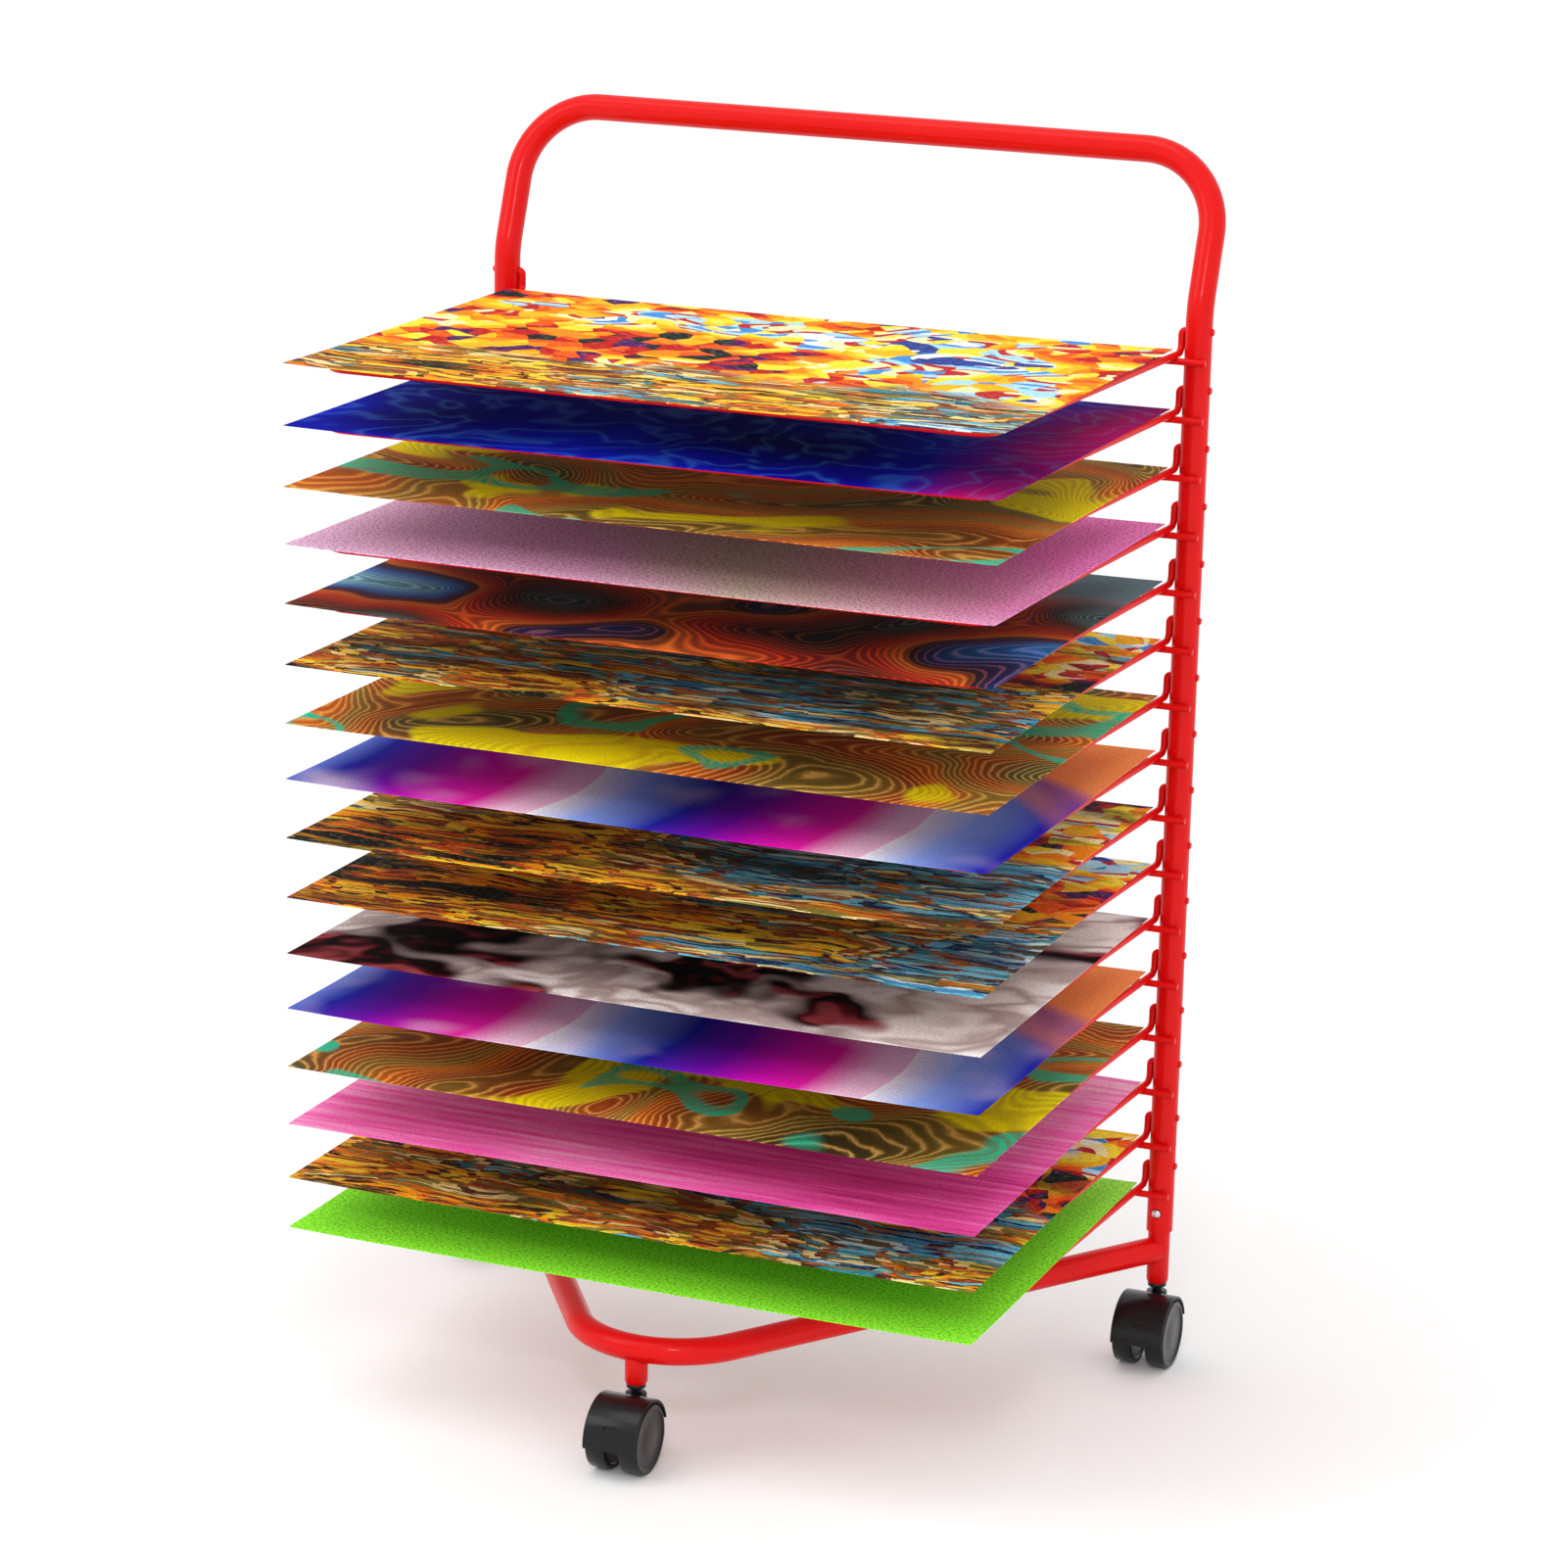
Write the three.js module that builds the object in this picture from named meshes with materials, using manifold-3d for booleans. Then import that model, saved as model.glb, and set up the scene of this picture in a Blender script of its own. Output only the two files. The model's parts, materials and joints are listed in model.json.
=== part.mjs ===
// Mobile art drying rack: a bent-tube frame with a leaning push handle, a tricycle base on
// twin-wheel casters, and a stack of hinged wire shelves that each carry one sheet of paper.
// Millimetres, +Z up, +X to the rack's right, -Y to its front. The origin lies on the floor,
// under the middle of the rack's outline.
import * as THREE from 'three';
import { mergeVertices } from 'three/addons/utils/BufferGeometryUtils.js';
import Module from 'manifold-3d';

const wasm = await Module();
wasm.setup();

// Clearances
const SEAT_GAP = 0.3;
const PIVOT_GAP = 0.15;
const WELD_SINK = 0.3;

// Frame: posts and push handle, one bent tube
const POST_DIAMETER = 19;
const TUBE_WALL = 1.2;
const POST_SPACING = 530;
const HANDLE_LEAN = THREE.MathUtils.degToRad(20.5);
const HANDLE_LEAN_RISE = 16;
const HANDLE_LEAN_RADIUS = 60;
const HANDLE_REACH = 109;
const HANDLE_CORNER_RADIUS = 56;

// Base: two plug-in legs, a bow welded between them and a tube for the front caster
const LEG_FOOT_GAP = 4.28;
const LEG_EXPOSED = 40;
const LEG_INSERTION = 40;
const LEG_END_CHAMFER = 0.7;
const LEG_END_CHAMFER_RISE = 2;
const BOW_DIAMETER = 19;
const BOW_DROP = 15;
const BOW_REACH = 338;
const BOW_NOSE_RADIUS = 70;

// Snap buttons that lock the legs in the posts
const BUTTON_DIAMETER = 6.4;
const BUTTON_HOLE_GAP = 0.5;
const BUTTON_RISE = 15;
const BUTTON_PROUD = 1.8;
const BUTTON_FLANGE_DIAMETER = 9;
const BUTTON_FLANGE_THICKNESS = 1.5;
const SPRING_STRIP_WIDTH = 6;
const SPRING_STRIP_THICKNESS = 0.8;
const SPRING_RISE = 18;
const SPRING_TAIL = 8;

// Wire shelves
const SHELF_COUNT = 16;
const SHELF_PITCH = 41;
const LOWEST_PITCH = 37;
const LOWEST_PIVOT_RISE = 10;
const WIRE_DIAMETER = 5;
const WIRE_BEND_RADIUS = 6;
const PIVOT_RISE = 15.9;
const PIVOT_PROUD = 1.5;
const SHELF_DEPTH = 338;
const SHELF_TAPER = 16;
const SHELF_CORNER_RADIUS = 14;
const STOP_ARC_RADIUS = 26;
const STOP_RUN_INSET = 24.5;
const FRONT_BAR_SETBACK = 20;
const RIB_COUNT = 3;
const REAR_TIE_SETBACK = 46;

// Paper on the shelves
const SHEET_WIDTH = 508;
const SHEET_DEPTH = 346;
const SHEET_THICKNESS = 0.5;
const SHEET_SIDE_SHIFT = -3;
const SHEET_POST_GAP = 4.5;

// Casters
const WHEEL_DIAMETER = 50;
const WHEEL_WIDTH = 14.2;
const WHEEL_EDGE_CHAMFER = 1.2;
const WHEEL_RIM_WIDTH = 4;
const WHEEL_DISH = 1;
const WHEEL_HUB_DEPTH = 9;
const WHEEL_RUNNING_GAP = 0.8;
const AXLE_DIAMETER = 6;
const CASTER_TRAIL = 18;
const HOOD_GAP = 1.4;
const HOOD_THICKNESS = 1.8;
const HOOD_WEB = 9;
const HOOD_FRONT_ANGLE = THREE.MathUtils.degToRad(-4);
const HOOD_REAR_ANGLE = THREE.MathUtils.degToRad(165);
const HOOD_BOSS_DIAMETER = 15;
const HOOD_WEB_FRONT_ANGLE = THREE.MathUtils.degToRad(35);
const HOOD_BOSS_DEPTH = 16;
const HOOD_SLOT_WIDTH = 11;
const HOOD_SLOT_HEIGHT = 4.5;
const HOOD_SLOT_DEPTH = 0.9;
const HOOD_SLOT_ANGLE = THREE.MathUtils.degToRad(28);
const STEM_DIAMETER = 7;
const STEM_SEAT = 10;
const STEM_NECK = 3.7;
const SOCKET_FLANGE_DIAMETER = 13.6;
const SOCKET_FLANGE_THICKNESS = 3;
const SOCKET_LENGTH = 20;
const STEM_TOP_GAP = 3;

// Facets
const TUBE_SIDES = 12;
const WIRE_SIDES = 6;
const HOLE_SIDES = 8;
const PIVOT_HOLE_SIDES = 6;
const WHEEL_SIDES = 16;
const HOOD_STEPS = 10;
const TUBE_BEND_STEPS = 6;
const WIRE_BEND_STEPS = 2;
const PIVOT_BEND_STEPS = 1;
const STOP_ARC_STEPS = 3;

// Sizes worked out from the driving ones
const postRadius = POST_DIAMETER / 2;
const postX = POST_SPACING / 2;
const legRadius = postRadius - TUBE_WALL - SEAT_GAP;
const legBoreRadius = legRadius - TUBE_WALL;
const bowRadius = BOW_DIAMETER / 2;
const legBoreFlat = legBoreRadius * Math.cos(Math.PI / TUBE_SIDES);
const flangeRadius = BUTTON_FLANGE_DIAMETER / 2;
const flangeTop = Math.sqrt((legBoreFlat - SEAT_GAP) ** 2 - flangeRadius ** 2);
const wireRadius = WIRE_DIAMETER / 2;
const pivotHoleRadius = (wireRadius + PIVOT_GAP) / Math.cos(Math.PI / PIVOT_HOLE_SIDES);
const pivotBendRadius = wireRadius + SEAT_GAP;
const sideX = postX - postRadius - pivotBendRadius;
const wireFlat = wireRadius * Math.cos(Math.PI / WIRE_SIDES);
const stopDrop = PIVOT_RISE + 2 * wireFlat - WELD_SINK;
const stopY = -(postRadius + SEAT_GAP + wireRadius);
const wheelRadius = WHEEL_DIAMETER / 2;
const wheelApothem = wheelRadius * Math.cos(Math.PI / WHEEL_SIDES);
const wheelInnerX = HOOD_WEB / 2 + WHEEL_RUNNING_GAP;
const hoodInnerRadius = wheelRadius + HOOD_GAP;
const hoodOuterRadius = hoodInnerRadius + HOOD_THICKNESS;
const hoodWidth = 2 * (wheelInnerX + WHEEL_WIDTH);
const legFootHeight = wheelApothem + hoodOuterRadius + LEG_FOOT_GAP;
const socketSeatHeight = legFootHeight - SEAT_GAP;
const bossHeight = socketSeatHeight - SOCKET_FLANGE_THICKNESS - STEM_NECK;
const postFootHeight = legFootHeight + LEG_EXPOSED;
const legTopHeight = postFootHeight + LEG_INSERTION;
const buttonHeight = postFootHeight + BUTTON_RISE;
const bowHeight = postFootHeight - BOW_DROP;
const lowestPivotHeight = legTopHeight + LOWEST_PIVOT_RISE;
const handleLeanHeight = pivotHeight(0) + HANDLE_LEAN_RISE;
const noseStemY = -BOW_REACH;
const rackFront = BOW_REACH + CASTER_TRAIL + hoodOuterRadius;
const rackRear = HANDLE_REACH * Math.sin(HANDLE_LEAN) + postRadius;

// Finishes
const redEnamel = new THREE.MeshStandardMaterial({ color: 0xe0141c, roughness: 0.35, metalness: 0.1 });
const blackPlastic = new THREE.MeshStandardMaterial({ color: 0x191919, roughness: 0.35, metalness: 0 });
const steel = new THREE.MeshStandardMaterial({ color: 0xc9cbce, roughness: 0.25, metalness: 1 });
const springSteel = new THREE.MeshStandardMaterial({ color: 0x8d9095, roughness: 0.4, metalness: 1 });
const paper = new THREE.MeshStandardMaterial({ color: 0xf4f1e8, roughness: 0.85, metalness: 0 });

// A centre line of straight runs and round bends. Each run is one step and each bend a few, so
// a section carried along it has rings only where the line turns.
class BentLine extends THREE.Curve {
  constructor(corners, radii, bendSteps) {
    super();
    this.pieces = [];
    let start = corners[0];
    for (let i = 1; i < corners.length - 1; i += 1) {
      const corner = corners[i];
      const inward = corner.clone().sub(corners[i - 1]).normalize();
      const outward = corners[i + 1].clone().sub(corner).normalize();
      const turn = inward.angleTo(outward);
      const setback = radii[i - 1] * Math.tan(turn / 2);
      const bendStart = corner.clone().addScaledVector(inward, -setback);
      const axis = inward.clone().cross(outward).normalize();
      const toStart = inward.clone().cross(axis).multiplyScalar(radii[i - 1]);
      const centre = bendStart.clone().sub(toStart);
      this.pieces.push({ steps: 1, from: start, to: bendStart });
      this.pieces.push({ steps: bendSteps[i - 1], centre, toStart, axis, turn });
      start = corner.clone().addScaledVector(outward, setback);
    }
    this.pieces.push({ steps: 1, from: start, to: corners[corners.length - 1] });
    this.stepCount = this.pieces.reduce((sum, piece) => sum + piece.steps, 0);
  }

  getUtoTmapping(u) {
    return u;
  }

  getPoint(t, target = new THREE.Vector3()) {
    let step = t * this.stepCount;
    let index = 0;
    while (index < this.pieces.length - 1 && step > this.pieces[index].steps) {
      step -= this.pieces[index].steps;
      index += 1;
    }
    const piece = this.pieces[index];
    const share = step / piece.steps;
    if (piece.centre === undefined) {
      return target.lerpVectors(piece.from, piece.to, share);
    }
    return target.copy(piece.toStart).applyAxisAngle(piece.axis, piece.turn * share).add(piece.centre);
  }
}

// A round section as a polygon with flats on its two axes.
function roundOutline(radius, sides, PathClass = THREE.Shape) {
  const points = [];
  for (let i = 0; i < sides; i += 1) {
    const angle = (2 * Math.PI * (i + 0.5)) / sides;
    points.push(new THREE.Vector2(radius * Math.cos(angle), radius * Math.sin(angle)));
  }
  return new PathClass().setFromPoints(points);
}

function sweep(section, line) {
  return new THREE.ExtrudeGeometry(section, {
    steps: line.stepCount,
    extrudePath: line,
    bevelEnabled: false,
  });
}

function tubeSection(diameter) {
  const section = roundOutline(diameter / 2, TUBE_SIDES);
  section.holes.push(roundOutline(diameter / 2 - TUBE_WALL, TUBE_SIDES, THREE.Path));
  return section;
}

// Straight bar of round section between two points.
function bar(from, to, radius, sides) {
  return sweep(roundOutline(radius, sides), new BentLine([from, to], [], []));
}

// Turned piece about Z from a profile of [radius, height] pairs, outer wall upwards.
function turned(profile, sides = TUBE_SIDES) {
  const points = profile.map(([radius, height]) => new THREE.Vector2(radius, height));
  return new THREE.LatheGeometry(points, sides, Math.PI / sides).rotateX(Math.PI / 2);
}

function toSolid(geometry) {
  const bare = geometry.clone();
  bare.deleteAttribute('normal');
  bare.deleteAttribute('uv');
  const merged = mergeVertices(bare, 1e-4);
  return new wasm.Manifold(new wasm.Mesh({
    numProp: 3,
    vertProperties: new Float32Array(merged.attributes.position.array),
    triVerts: new Uint32Array(merged.index.array),
  }));
}

function toGeometry(solid) {
  const mesh = solid.getMesh();
  const geometry = new THREE.BufferGeometry();
  geometry.setAttribute('position', new THREE.BufferAttribute(mesh.vertProperties, 3));
  geometry.setIndex(new THREE.BufferAttribute(mesh.triVerts, 1));
  geometry.computeVertexNormals();
  return geometry;
}

function join(geometries) {
  return toGeometry(geometries.map(toSolid).reduce((whole, piece) => whole.add(piece)));
}

function cut(geometry, tools) {
  const body = toSolid(geometry);
  return toGeometry(tools.map(toSolid).reduce((rest, tool) => rest.subtract(tool), body));
}

function node(name, geometry, material) {
  const mesh = new THREE.Mesh(geometry, material);
  mesh.name = name;
  return mesh;
}

function point(x, y, z) {
  return new THREE.Vector3(x, y, z);
}

// Height of a shelf's pivot, counted from the top; the lowest shelf hangs closer to its neighbour.
function pivotHeight(index) {
  const stepsUp = SHELF_COUNT - 1 - index;
  return lowestPivotHeight + (stepsUp > 0 ? LOWEST_PITCH + (stepsUp - 1) * SHELF_PITCH : 0);
}

// Posts and handle: up one post, back along the lean, across the top and down the other post.
function frameTube() {
  const topY = HANDLE_REACH * Math.sin(HANDLE_LEAN);
  const topZ = handleLeanHeight + HANDLE_REACH * Math.cos(HANDLE_LEAN);
  const corners = [
    point(postX, 0, postFootHeight),
    point(postX, 0, handleLeanHeight),
    point(postX, topY, topZ),
    point(-postX, topY, topZ),
    point(-postX, 0, handleLeanHeight),
    point(-postX, 0, postFootHeight),
  ];
  const radii = [HANDLE_LEAN_RADIUS, HANDLE_CORNER_RADIUS, HANDLE_CORNER_RADIUS, HANDLE_LEAN_RADIUS];
  const bendSteps = [WIRE_BEND_STEPS, TUBE_BEND_STEPS, TUBE_BEND_STEPS, WIRE_BEND_STEPS];
  const tube = sweep(tubeSection(POST_DIAMETER), new BentLine(corners, radii, bendSteps));
  const drills = [];
  for (let index = 0; index < SHELF_COUNT; index += 1) {
    const height = pivotHeight(index);
    const reach = postX + POST_DIAMETER;
    drills.push(bar(point(-reach, 0, height), point(reach, 0, height), pivotHoleRadius, PIVOT_HOLE_SIDES));
  }
  return cut(tube, [...drills, ...buttonDrills()]);
}

// Holes for the snap buttons, through the front wall of each post and of the leg inside it.
function buttonDrills() {
  const radius = BUTTON_DIAMETER / 2 + BUTTON_HOLE_GAP;
  return [-postX, postX].map((x) => bar(
    point(x, 0, buttonHeight),
    point(x, -POST_DIAMETER, buttonHeight),
    radius,
    HOLE_SIDES,
  ));
}

// Open tube about Z with its lower rim chamfered, where the caster's socket goes in.
function legTube(bottom, top) {
  return turned([
    [legRadius - LEG_END_CHAMFER, bottom],
    [legRadius, bottom + LEG_END_CHAMFER_RISE],
    [legRadius, top],
    [legBoreRadius, top],
    [legBoreRadius, bottom],
    [legRadius - LEG_END_CHAMFER, bottom],
  ]);
}

function rearLeg(x) {
  return cut(legTube(legFootHeight, legTopHeight).translate(x, 0, 0), buttonDrills());
}

// Bow in plan: two straight arms from the legs, tangent to the round nose.
function bowLine() {
  const centreY = -BOW_REACH + BOW_NOSE_RADIUS;
  const span = Math.hypot(postX, centreY);
  const armAngle = Math.atan2(-centreY, postX) + Math.asin(BOW_NOSE_RADIUS / span);
  const tipY = -postX * Math.tan(armAngle);
  return new BentLine(
    [point(postX, 0, bowHeight), point(0, tipY, bowHeight), point(-postX, 0, bowHeight)],
    [BOW_NOSE_RADIUS],
    [2 * TUBE_BEND_STEPS],
  );
}

// The bow's ends are hollowed to fit round the legs, and its nose is drilled for the front socket.
function baseBow() {
  const saddles = [-postX, postX].map((x) => bar(
    point(x, 0, legFootHeight),
    point(x, 0, legTopHeight),
    (legRadius + SEAT_GAP) / Math.cos(Math.PI / TUBE_SIDES),
    TUBE_SIDES,
  ));
  const socketHole = bar(
    point(0, noseStemY, legFootHeight),
    point(0, noseStemY, bowHeight),
    legBoreRadius,
    TUBE_SIDES,
  );
  return cut(sweep(tubeSection(BOW_DIAMETER), bowLine()), [...saddles, socketHole]);
}

// Front caster tube, notched to sit up against the underside of the bow's nose.
function frontCasterTube() {
  const tube = legTube(legFootHeight, bowHeight).translate(0, noseStemY, 0);
  const notch = roundOutline((bowRadius + SEAT_GAP) / Math.cos(Math.PI / TUBE_SIDES), TUBE_SIDES);
  return cut(tube, [sweep(notch, bowLine())]);
}

// Snap button pointing to the front: a domed pin on a flange that bears inside the leg.
function snapButton(x) {
  const domeTop = postRadius + BUTTON_PROUD;
  const radius = BUTTON_DIAMETER / 2;
  const profile = [
    [0, flangeTop - BUTTON_FLANGE_THICKNESS],
    [flangeRadius, flangeTop - BUTTON_FLANGE_THICKNESS],
    [flangeRadius, flangeTop],
    [radius, flangeTop],
    [radius, domeTop - radius / 2],
    [radius * Math.SQRT1_2, domeTop - radius / 6],
    [0, domeTop],
  ];
  return turned(profile, HOLE_SIDES).rotateX(Math.PI / 2).translate(x, 0, buttonHeight);
}

// V spring in the leg: one arm behind the button, the other on the leg's rear wall.
function snapSpring(x) {
  const frontY = -(flangeTop - BUTTON_FLANGE_THICKNESS - SEAT_GAP);
  const halfWidth = SPRING_STRIP_WIDTH / 2;
  const rearY = Math.sqrt((legBoreFlat - SEAT_GAP) ** 2 - halfWidth ** 2) - SPRING_STRIP_THICKNESS;
  const outline = new THREE.Shape([
    new THREE.Vector2(frontY, -halfWidth),
    new THREE.Vector2(frontY, halfWidth),
    new THREE.Vector2(0, SPRING_RISE),
    new THREE.Vector2(rearY + SPRING_STRIP_THICKNESS, -SPRING_TAIL),
    new THREE.Vector2(rearY, -SPRING_TAIL),
    new THREE.Vector2(0, SPRING_RISE - 2 * SPRING_STRIP_THICKNESS),
    new THREE.Vector2(frontY + SPRING_STRIP_THICKNESS, halfWidth),
    new THREE.Vector2(frontY + SPRING_STRIP_THICKNESS, -halfWidth),
  ]);
  const strip = new THREE.ExtrudeGeometry(outline, { depth: SPRING_STRIP_WIDTH, bevelEnabled: false });
  strip.translate(0, 0, -SPRING_STRIP_WIDTH / 2);
  return strip.rotateX(Math.PI / 2).rotateZ(Math.PI / 2).translate(x, 0, buttonHeight);
}

// One welded wire shelf about its pivot axis. The rim wire's ends bend up beside the posts and
// out through them as pivots. The stop wire runs inside the rim, one wire lower: its two ends
// cross in front of the posts and hold the shelf level. Ribs level with the rim lie on the stop
// wire's front bar and on a tie at the rear, and meet the rim in front.
function shelfGrille() {
  const pinX = postX + postRadius + PIVOT_PROUD;
  const frontX = sideX - SHELF_TAPER;
  const rimZ = -PIVOT_RISE;
  const rim = new BentLine(
    [
      point(pinX, 0, 0),
      point(sideX, 0, 0),
      point(sideX, 0, rimZ),
      point(frontX, -SHELF_DEPTH, rimZ),
      point(-frontX, -SHELF_DEPTH, rimZ),
      point(-sideX, 0, rimZ),
      point(-sideX, 0, 0),
      point(-pinX, 0, 0),
    ],
    [pivotBendRadius, WIRE_BEND_RADIUS, SHELF_CORNER_RADIUS, SHELF_CORNER_RADIUS,
      WIRE_BEND_RADIUS, pivotBendRadius],
    [PIVOT_BEND_STEPS, PIVOT_BEND_STEPS, WIRE_BEND_STEPS, WIRE_BEND_STEPS,
      PIVOT_BEND_STEPS, PIVOT_BEND_STEPS],
  );
  const section = roundOutline(wireRadius, WIRE_SIDES);
  const wires = [sweep(section, rim)];
  const runX = (y) => sideX - STOP_RUN_INSET + (SHELF_TAPER / SHELF_DEPTH) * y;
  const barY = -(SHELF_DEPTH - FRONT_BAR_SETBACK);
  const stop = new BentLine(
    [
      point(postX + postRadius, stopY, -stopDrop),
      point(runX(stopY), stopY, -stopDrop),
      point(runX(barY), barY, -stopDrop),
      point(-runX(barY), barY, -stopDrop),
      point(-runX(stopY), stopY, -stopDrop),
      point(-postX - postRadius, stopY, -stopDrop),
    ],
    [STOP_ARC_RADIUS, SHELF_CORNER_RADIUS, SHELF_CORNER_RADIUS, STOP_ARC_RADIUS],
    [STOP_ARC_STEPS, WIRE_BEND_STEPS, WIRE_BEND_STEPS, STOP_ARC_STEPS],
  );
  wires.push(sweep(section, stop));
  const tieY = -REAR_TIE_SETBACK;
  const tieX = runX(tieY);
  wires.push(bar(point(-tieX, tieY, -stopDrop), point(tieX, tieY, -stopDrop), wireRadius, WIRE_SIDES));
  const ribPitch = (2 * runX(-SHELF_DEPTH)) / (RIB_COUNT + 1);
  for (let i = 0; i < RIB_COUNT; i += 1) {
    const x = ribPitch * (i - (RIB_COUNT - 1) / 2);
    const rear = point(x, tieY + WIRE_DIAMETER, rimZ);
    wires.push(bar(rear, point(x, -SHELF_DEPTH, rimZ), wireRadius, WIRE_SIDES));
  }
  return join(wires);
}

function sheetOfPaper() {
  const rear = -(postRadius + SHEET_POST_GAP);
  const bottom = -PIVOT_RISE + wireRadius + SEAT_GAP / 2;
  const sheet = new THREE.BoxGeometry(SHEET_WIDTH, SHEET_DEPTH, SHEET_THICKNESS);
  return sheet.translate(SHEET_SIDE_SHIFT, rear - SHEET_DEPTH / 2, bottom + SHEET_THICKNESS / 2);
}

// Caster pieces, about the stem's axis on the floor, with the wheels trailing to the front.
function casterSocket() {
  const bore = STEM_DIAMETER / 2 + SEAT_GAP;
  const sleeve = legBoreRadius - SEAT_GAP;
  const seat = socketSeatHeight;
  return turned([
    [SOCKET_FLANGE_DIAMETER / 2, seat - SOCKET_FLANGE_THICKNESS],
    [SOCKET_FLANGE_DIAMETER / 2, seat],
    [sleeve, seat],
    [sleeve, seat + SOCKET_LENGTH],
    [bore, seat + SOCKET_LENGTH],
    [bore, seat - SOCKET_FLANGE_THICKNESS],
    [SOCKET_FLANGE_DIAMETER / 2, seat - SOCKET_FLANGE_THICKNESS],
  ]);
}

function casterStem() {
  const radius = STEM_DIAMETER / 2;
  const top = legFootHeight + SOCKET_LENGTH - STEM_TOP_GAP;
  return turned([
    [0, bossHeight - STEM_SEAT],
    [radius, bossHeight - STEM_SEAT],
    [radius, top - radius / 2],
    [radius / 2, top],
    [0, top],
  ]);
}

// Prism along X from an outline drawn in the Y-Z plane.
function crossPrism(outline, width) {
  const prism = new THREE.ExtrudeGeometry(outline, { depth: width, bevelEnabled: false });
  prism.translate(0, 0, -width / 2);
  return prism.rotateX(Math.PI / 2).rotateZ(Math.PI / 2);
}

// Hood about the axle: a curved cover over both wheels on a middle web, with a boss for the stem.
// Angles are measured from the front towards the top.
function casterHood() {
  const arcPoint = (radius, angle) => new THREE.Vector2(-radius * Math.cos(angle), radius * Math.sin(angle));
  const cover = [];
  const lining = [];
  for (let i = 0; i <= HOOD_STEPS; i += 1) {
    const angle = HOOD_FRONT_ANGLE + ((HOOD_REAR_ANGLE - HOOD_FRONT_ANGLE) * i) / HOOD_STEPS;
    cover.push(arcPoint(hoodOuterRadius, angle));
    lining.push(arcPoint(hoodInnerRadius, angle));
  }
  const shell = crossPrism(new THREE.Shape([...cover, ...lining.reverse()]), hoodWidth);
  const webRim = cover.filter((spot) => Math.atan2(spot.y, -spot.x) > HOOD_WEB_FRONT_ANGLE);
  const belly = [1.3, 1.5, 1.7].map((turn) => arcPoint(AXLE_DIAMETER, turn * Math.PI));
  const web = crossPrism(new THREE.Shape([...webRim, ...belly]), HOOD_WEB);
  const bossTop = bossHeight - wheelApothem;
  const boss = bar(
    point(0, CASTER_TRAIL, bossTop - HOOD_BOSS_DEPTH),
    point(0, CASTER_TRAIL, bossTop),
    HOOD_BOSS_DIAMETER / 2,
    TUBE_SIDES,
  );
  const stemHole = bar(
    point(0, CASTER_TRAIL, bossTop - STEM_SEAT - SEAT_GAP),
    point(0, CASTER_TRAIL, bossTop + HOOD_BOSS_DEPTH),
    STEM_DIAMETER / 2 + SEAT_GAP,
    TUBE_SIDES,
  );
  const axleHole = bar(
    point(-hoodWidth, 0, 0),
    point(hoodWidth, 0, 0),
    AXLE_DIAMETER / 2 + SEAT_GAP,
    HOLE_SIDES,
  );
  const wells = [-1, 1].map((side) => bar(
    point((side * HOOD_WEB) / 2, 0, 0),
    point(side * hoodWidth, 0, 0),
    wheelRadius + HOOD_GAP / 2,
    2 * WHEEL_SIDES,
  ));
  const slot = new THREE.BoxGeometry(HOOD_SLOT_WIDTH, 2 * HOOD_SLOT_DEPTH, HOOD_SLOT_HEIGHT);
  slot.translate(0, -hoodOuterRadius, 0).rotateX(-HOOD_SLOT_ANGLE);
  return cut(join([shell, web, boss]), [...wells, stemHole, axleHole, slot]);
}

function casterAxle() {
  const half = wheelInnerX + WHEEL_HUB_DEPTH - SEAT_GAP;
  return bar(point(-half, 0, 0), point(half, 0, 0), AXLE_DIAMETER / 2, HOLE_SIDES);
}

// Wheel turned about X, with a blind bore from its inner side and a dished outer disc.
function casterWheel(side) {
  const bore = AXLE_DIAMETER / 2 + SEAT_GAP;
  const profile = [
    [0, WHEEL_HUB_DEPTH],
    [bore, WHEEL_HUB_DEPTH],
    [bore, 0],
    [wheelRadius - WHEEL_EDGE_CHAMFER, 0],
    [wheelRadius, WHEEL_EDGE_CHAMFER],
    [wheelRadius, WHEEL_WIDTH - WHEEL_EDGE_CHAMFER],
    [wheelRadius - WHEEL_EDGE_CHAMFER, WHEEL_WIDTH],
    [wheelRadius - WHEEL_RIM_WIDTH, WHEEL_WIDTH],
    [wheelRadius - WHEEL_RIM_WIDTH - WHEEL_DISH, WHEEL_WIDTH - WHEEL_DISH],
    [0, WHEEL_WIDTH - WHEEL_DISH],
  ];
  const wheel = turned(profile, WHEEL_SIDES);
  wheel.rotateY((side * Math.PI) / 2);
  return wheel.translate(side * wheelInnerX, 0, 0);
}

function caster(place, x, y) {
  const group = new THREE.Group();
  group.position.set(x, y, 0);
  group.add(node(`caster_socket_${place}`, casterSocket(), blackPlastic));
  group.add(node(`caster_stem_${place}`, casterStem(), blackPlastic));
  const carriage = new THREE.Group();
  carriage.position.set(0, -CASTER_TRAIL, wheelApothem);
  carriage.add(node(`caster_hood_${place}`, casterHood(), blackPlastic));
  carriage.add(node(`caster_axle_${place}`, casterAxle(), steel));
  carriage.add(node(`wheel_${place}_a`, casterWheel(-1), blackPlastic));
  carriage.add(node(`wheel_${place}_b`, casterWheel(1), blackPlastic));
  group.add(carriage);
  return group;
}

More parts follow.
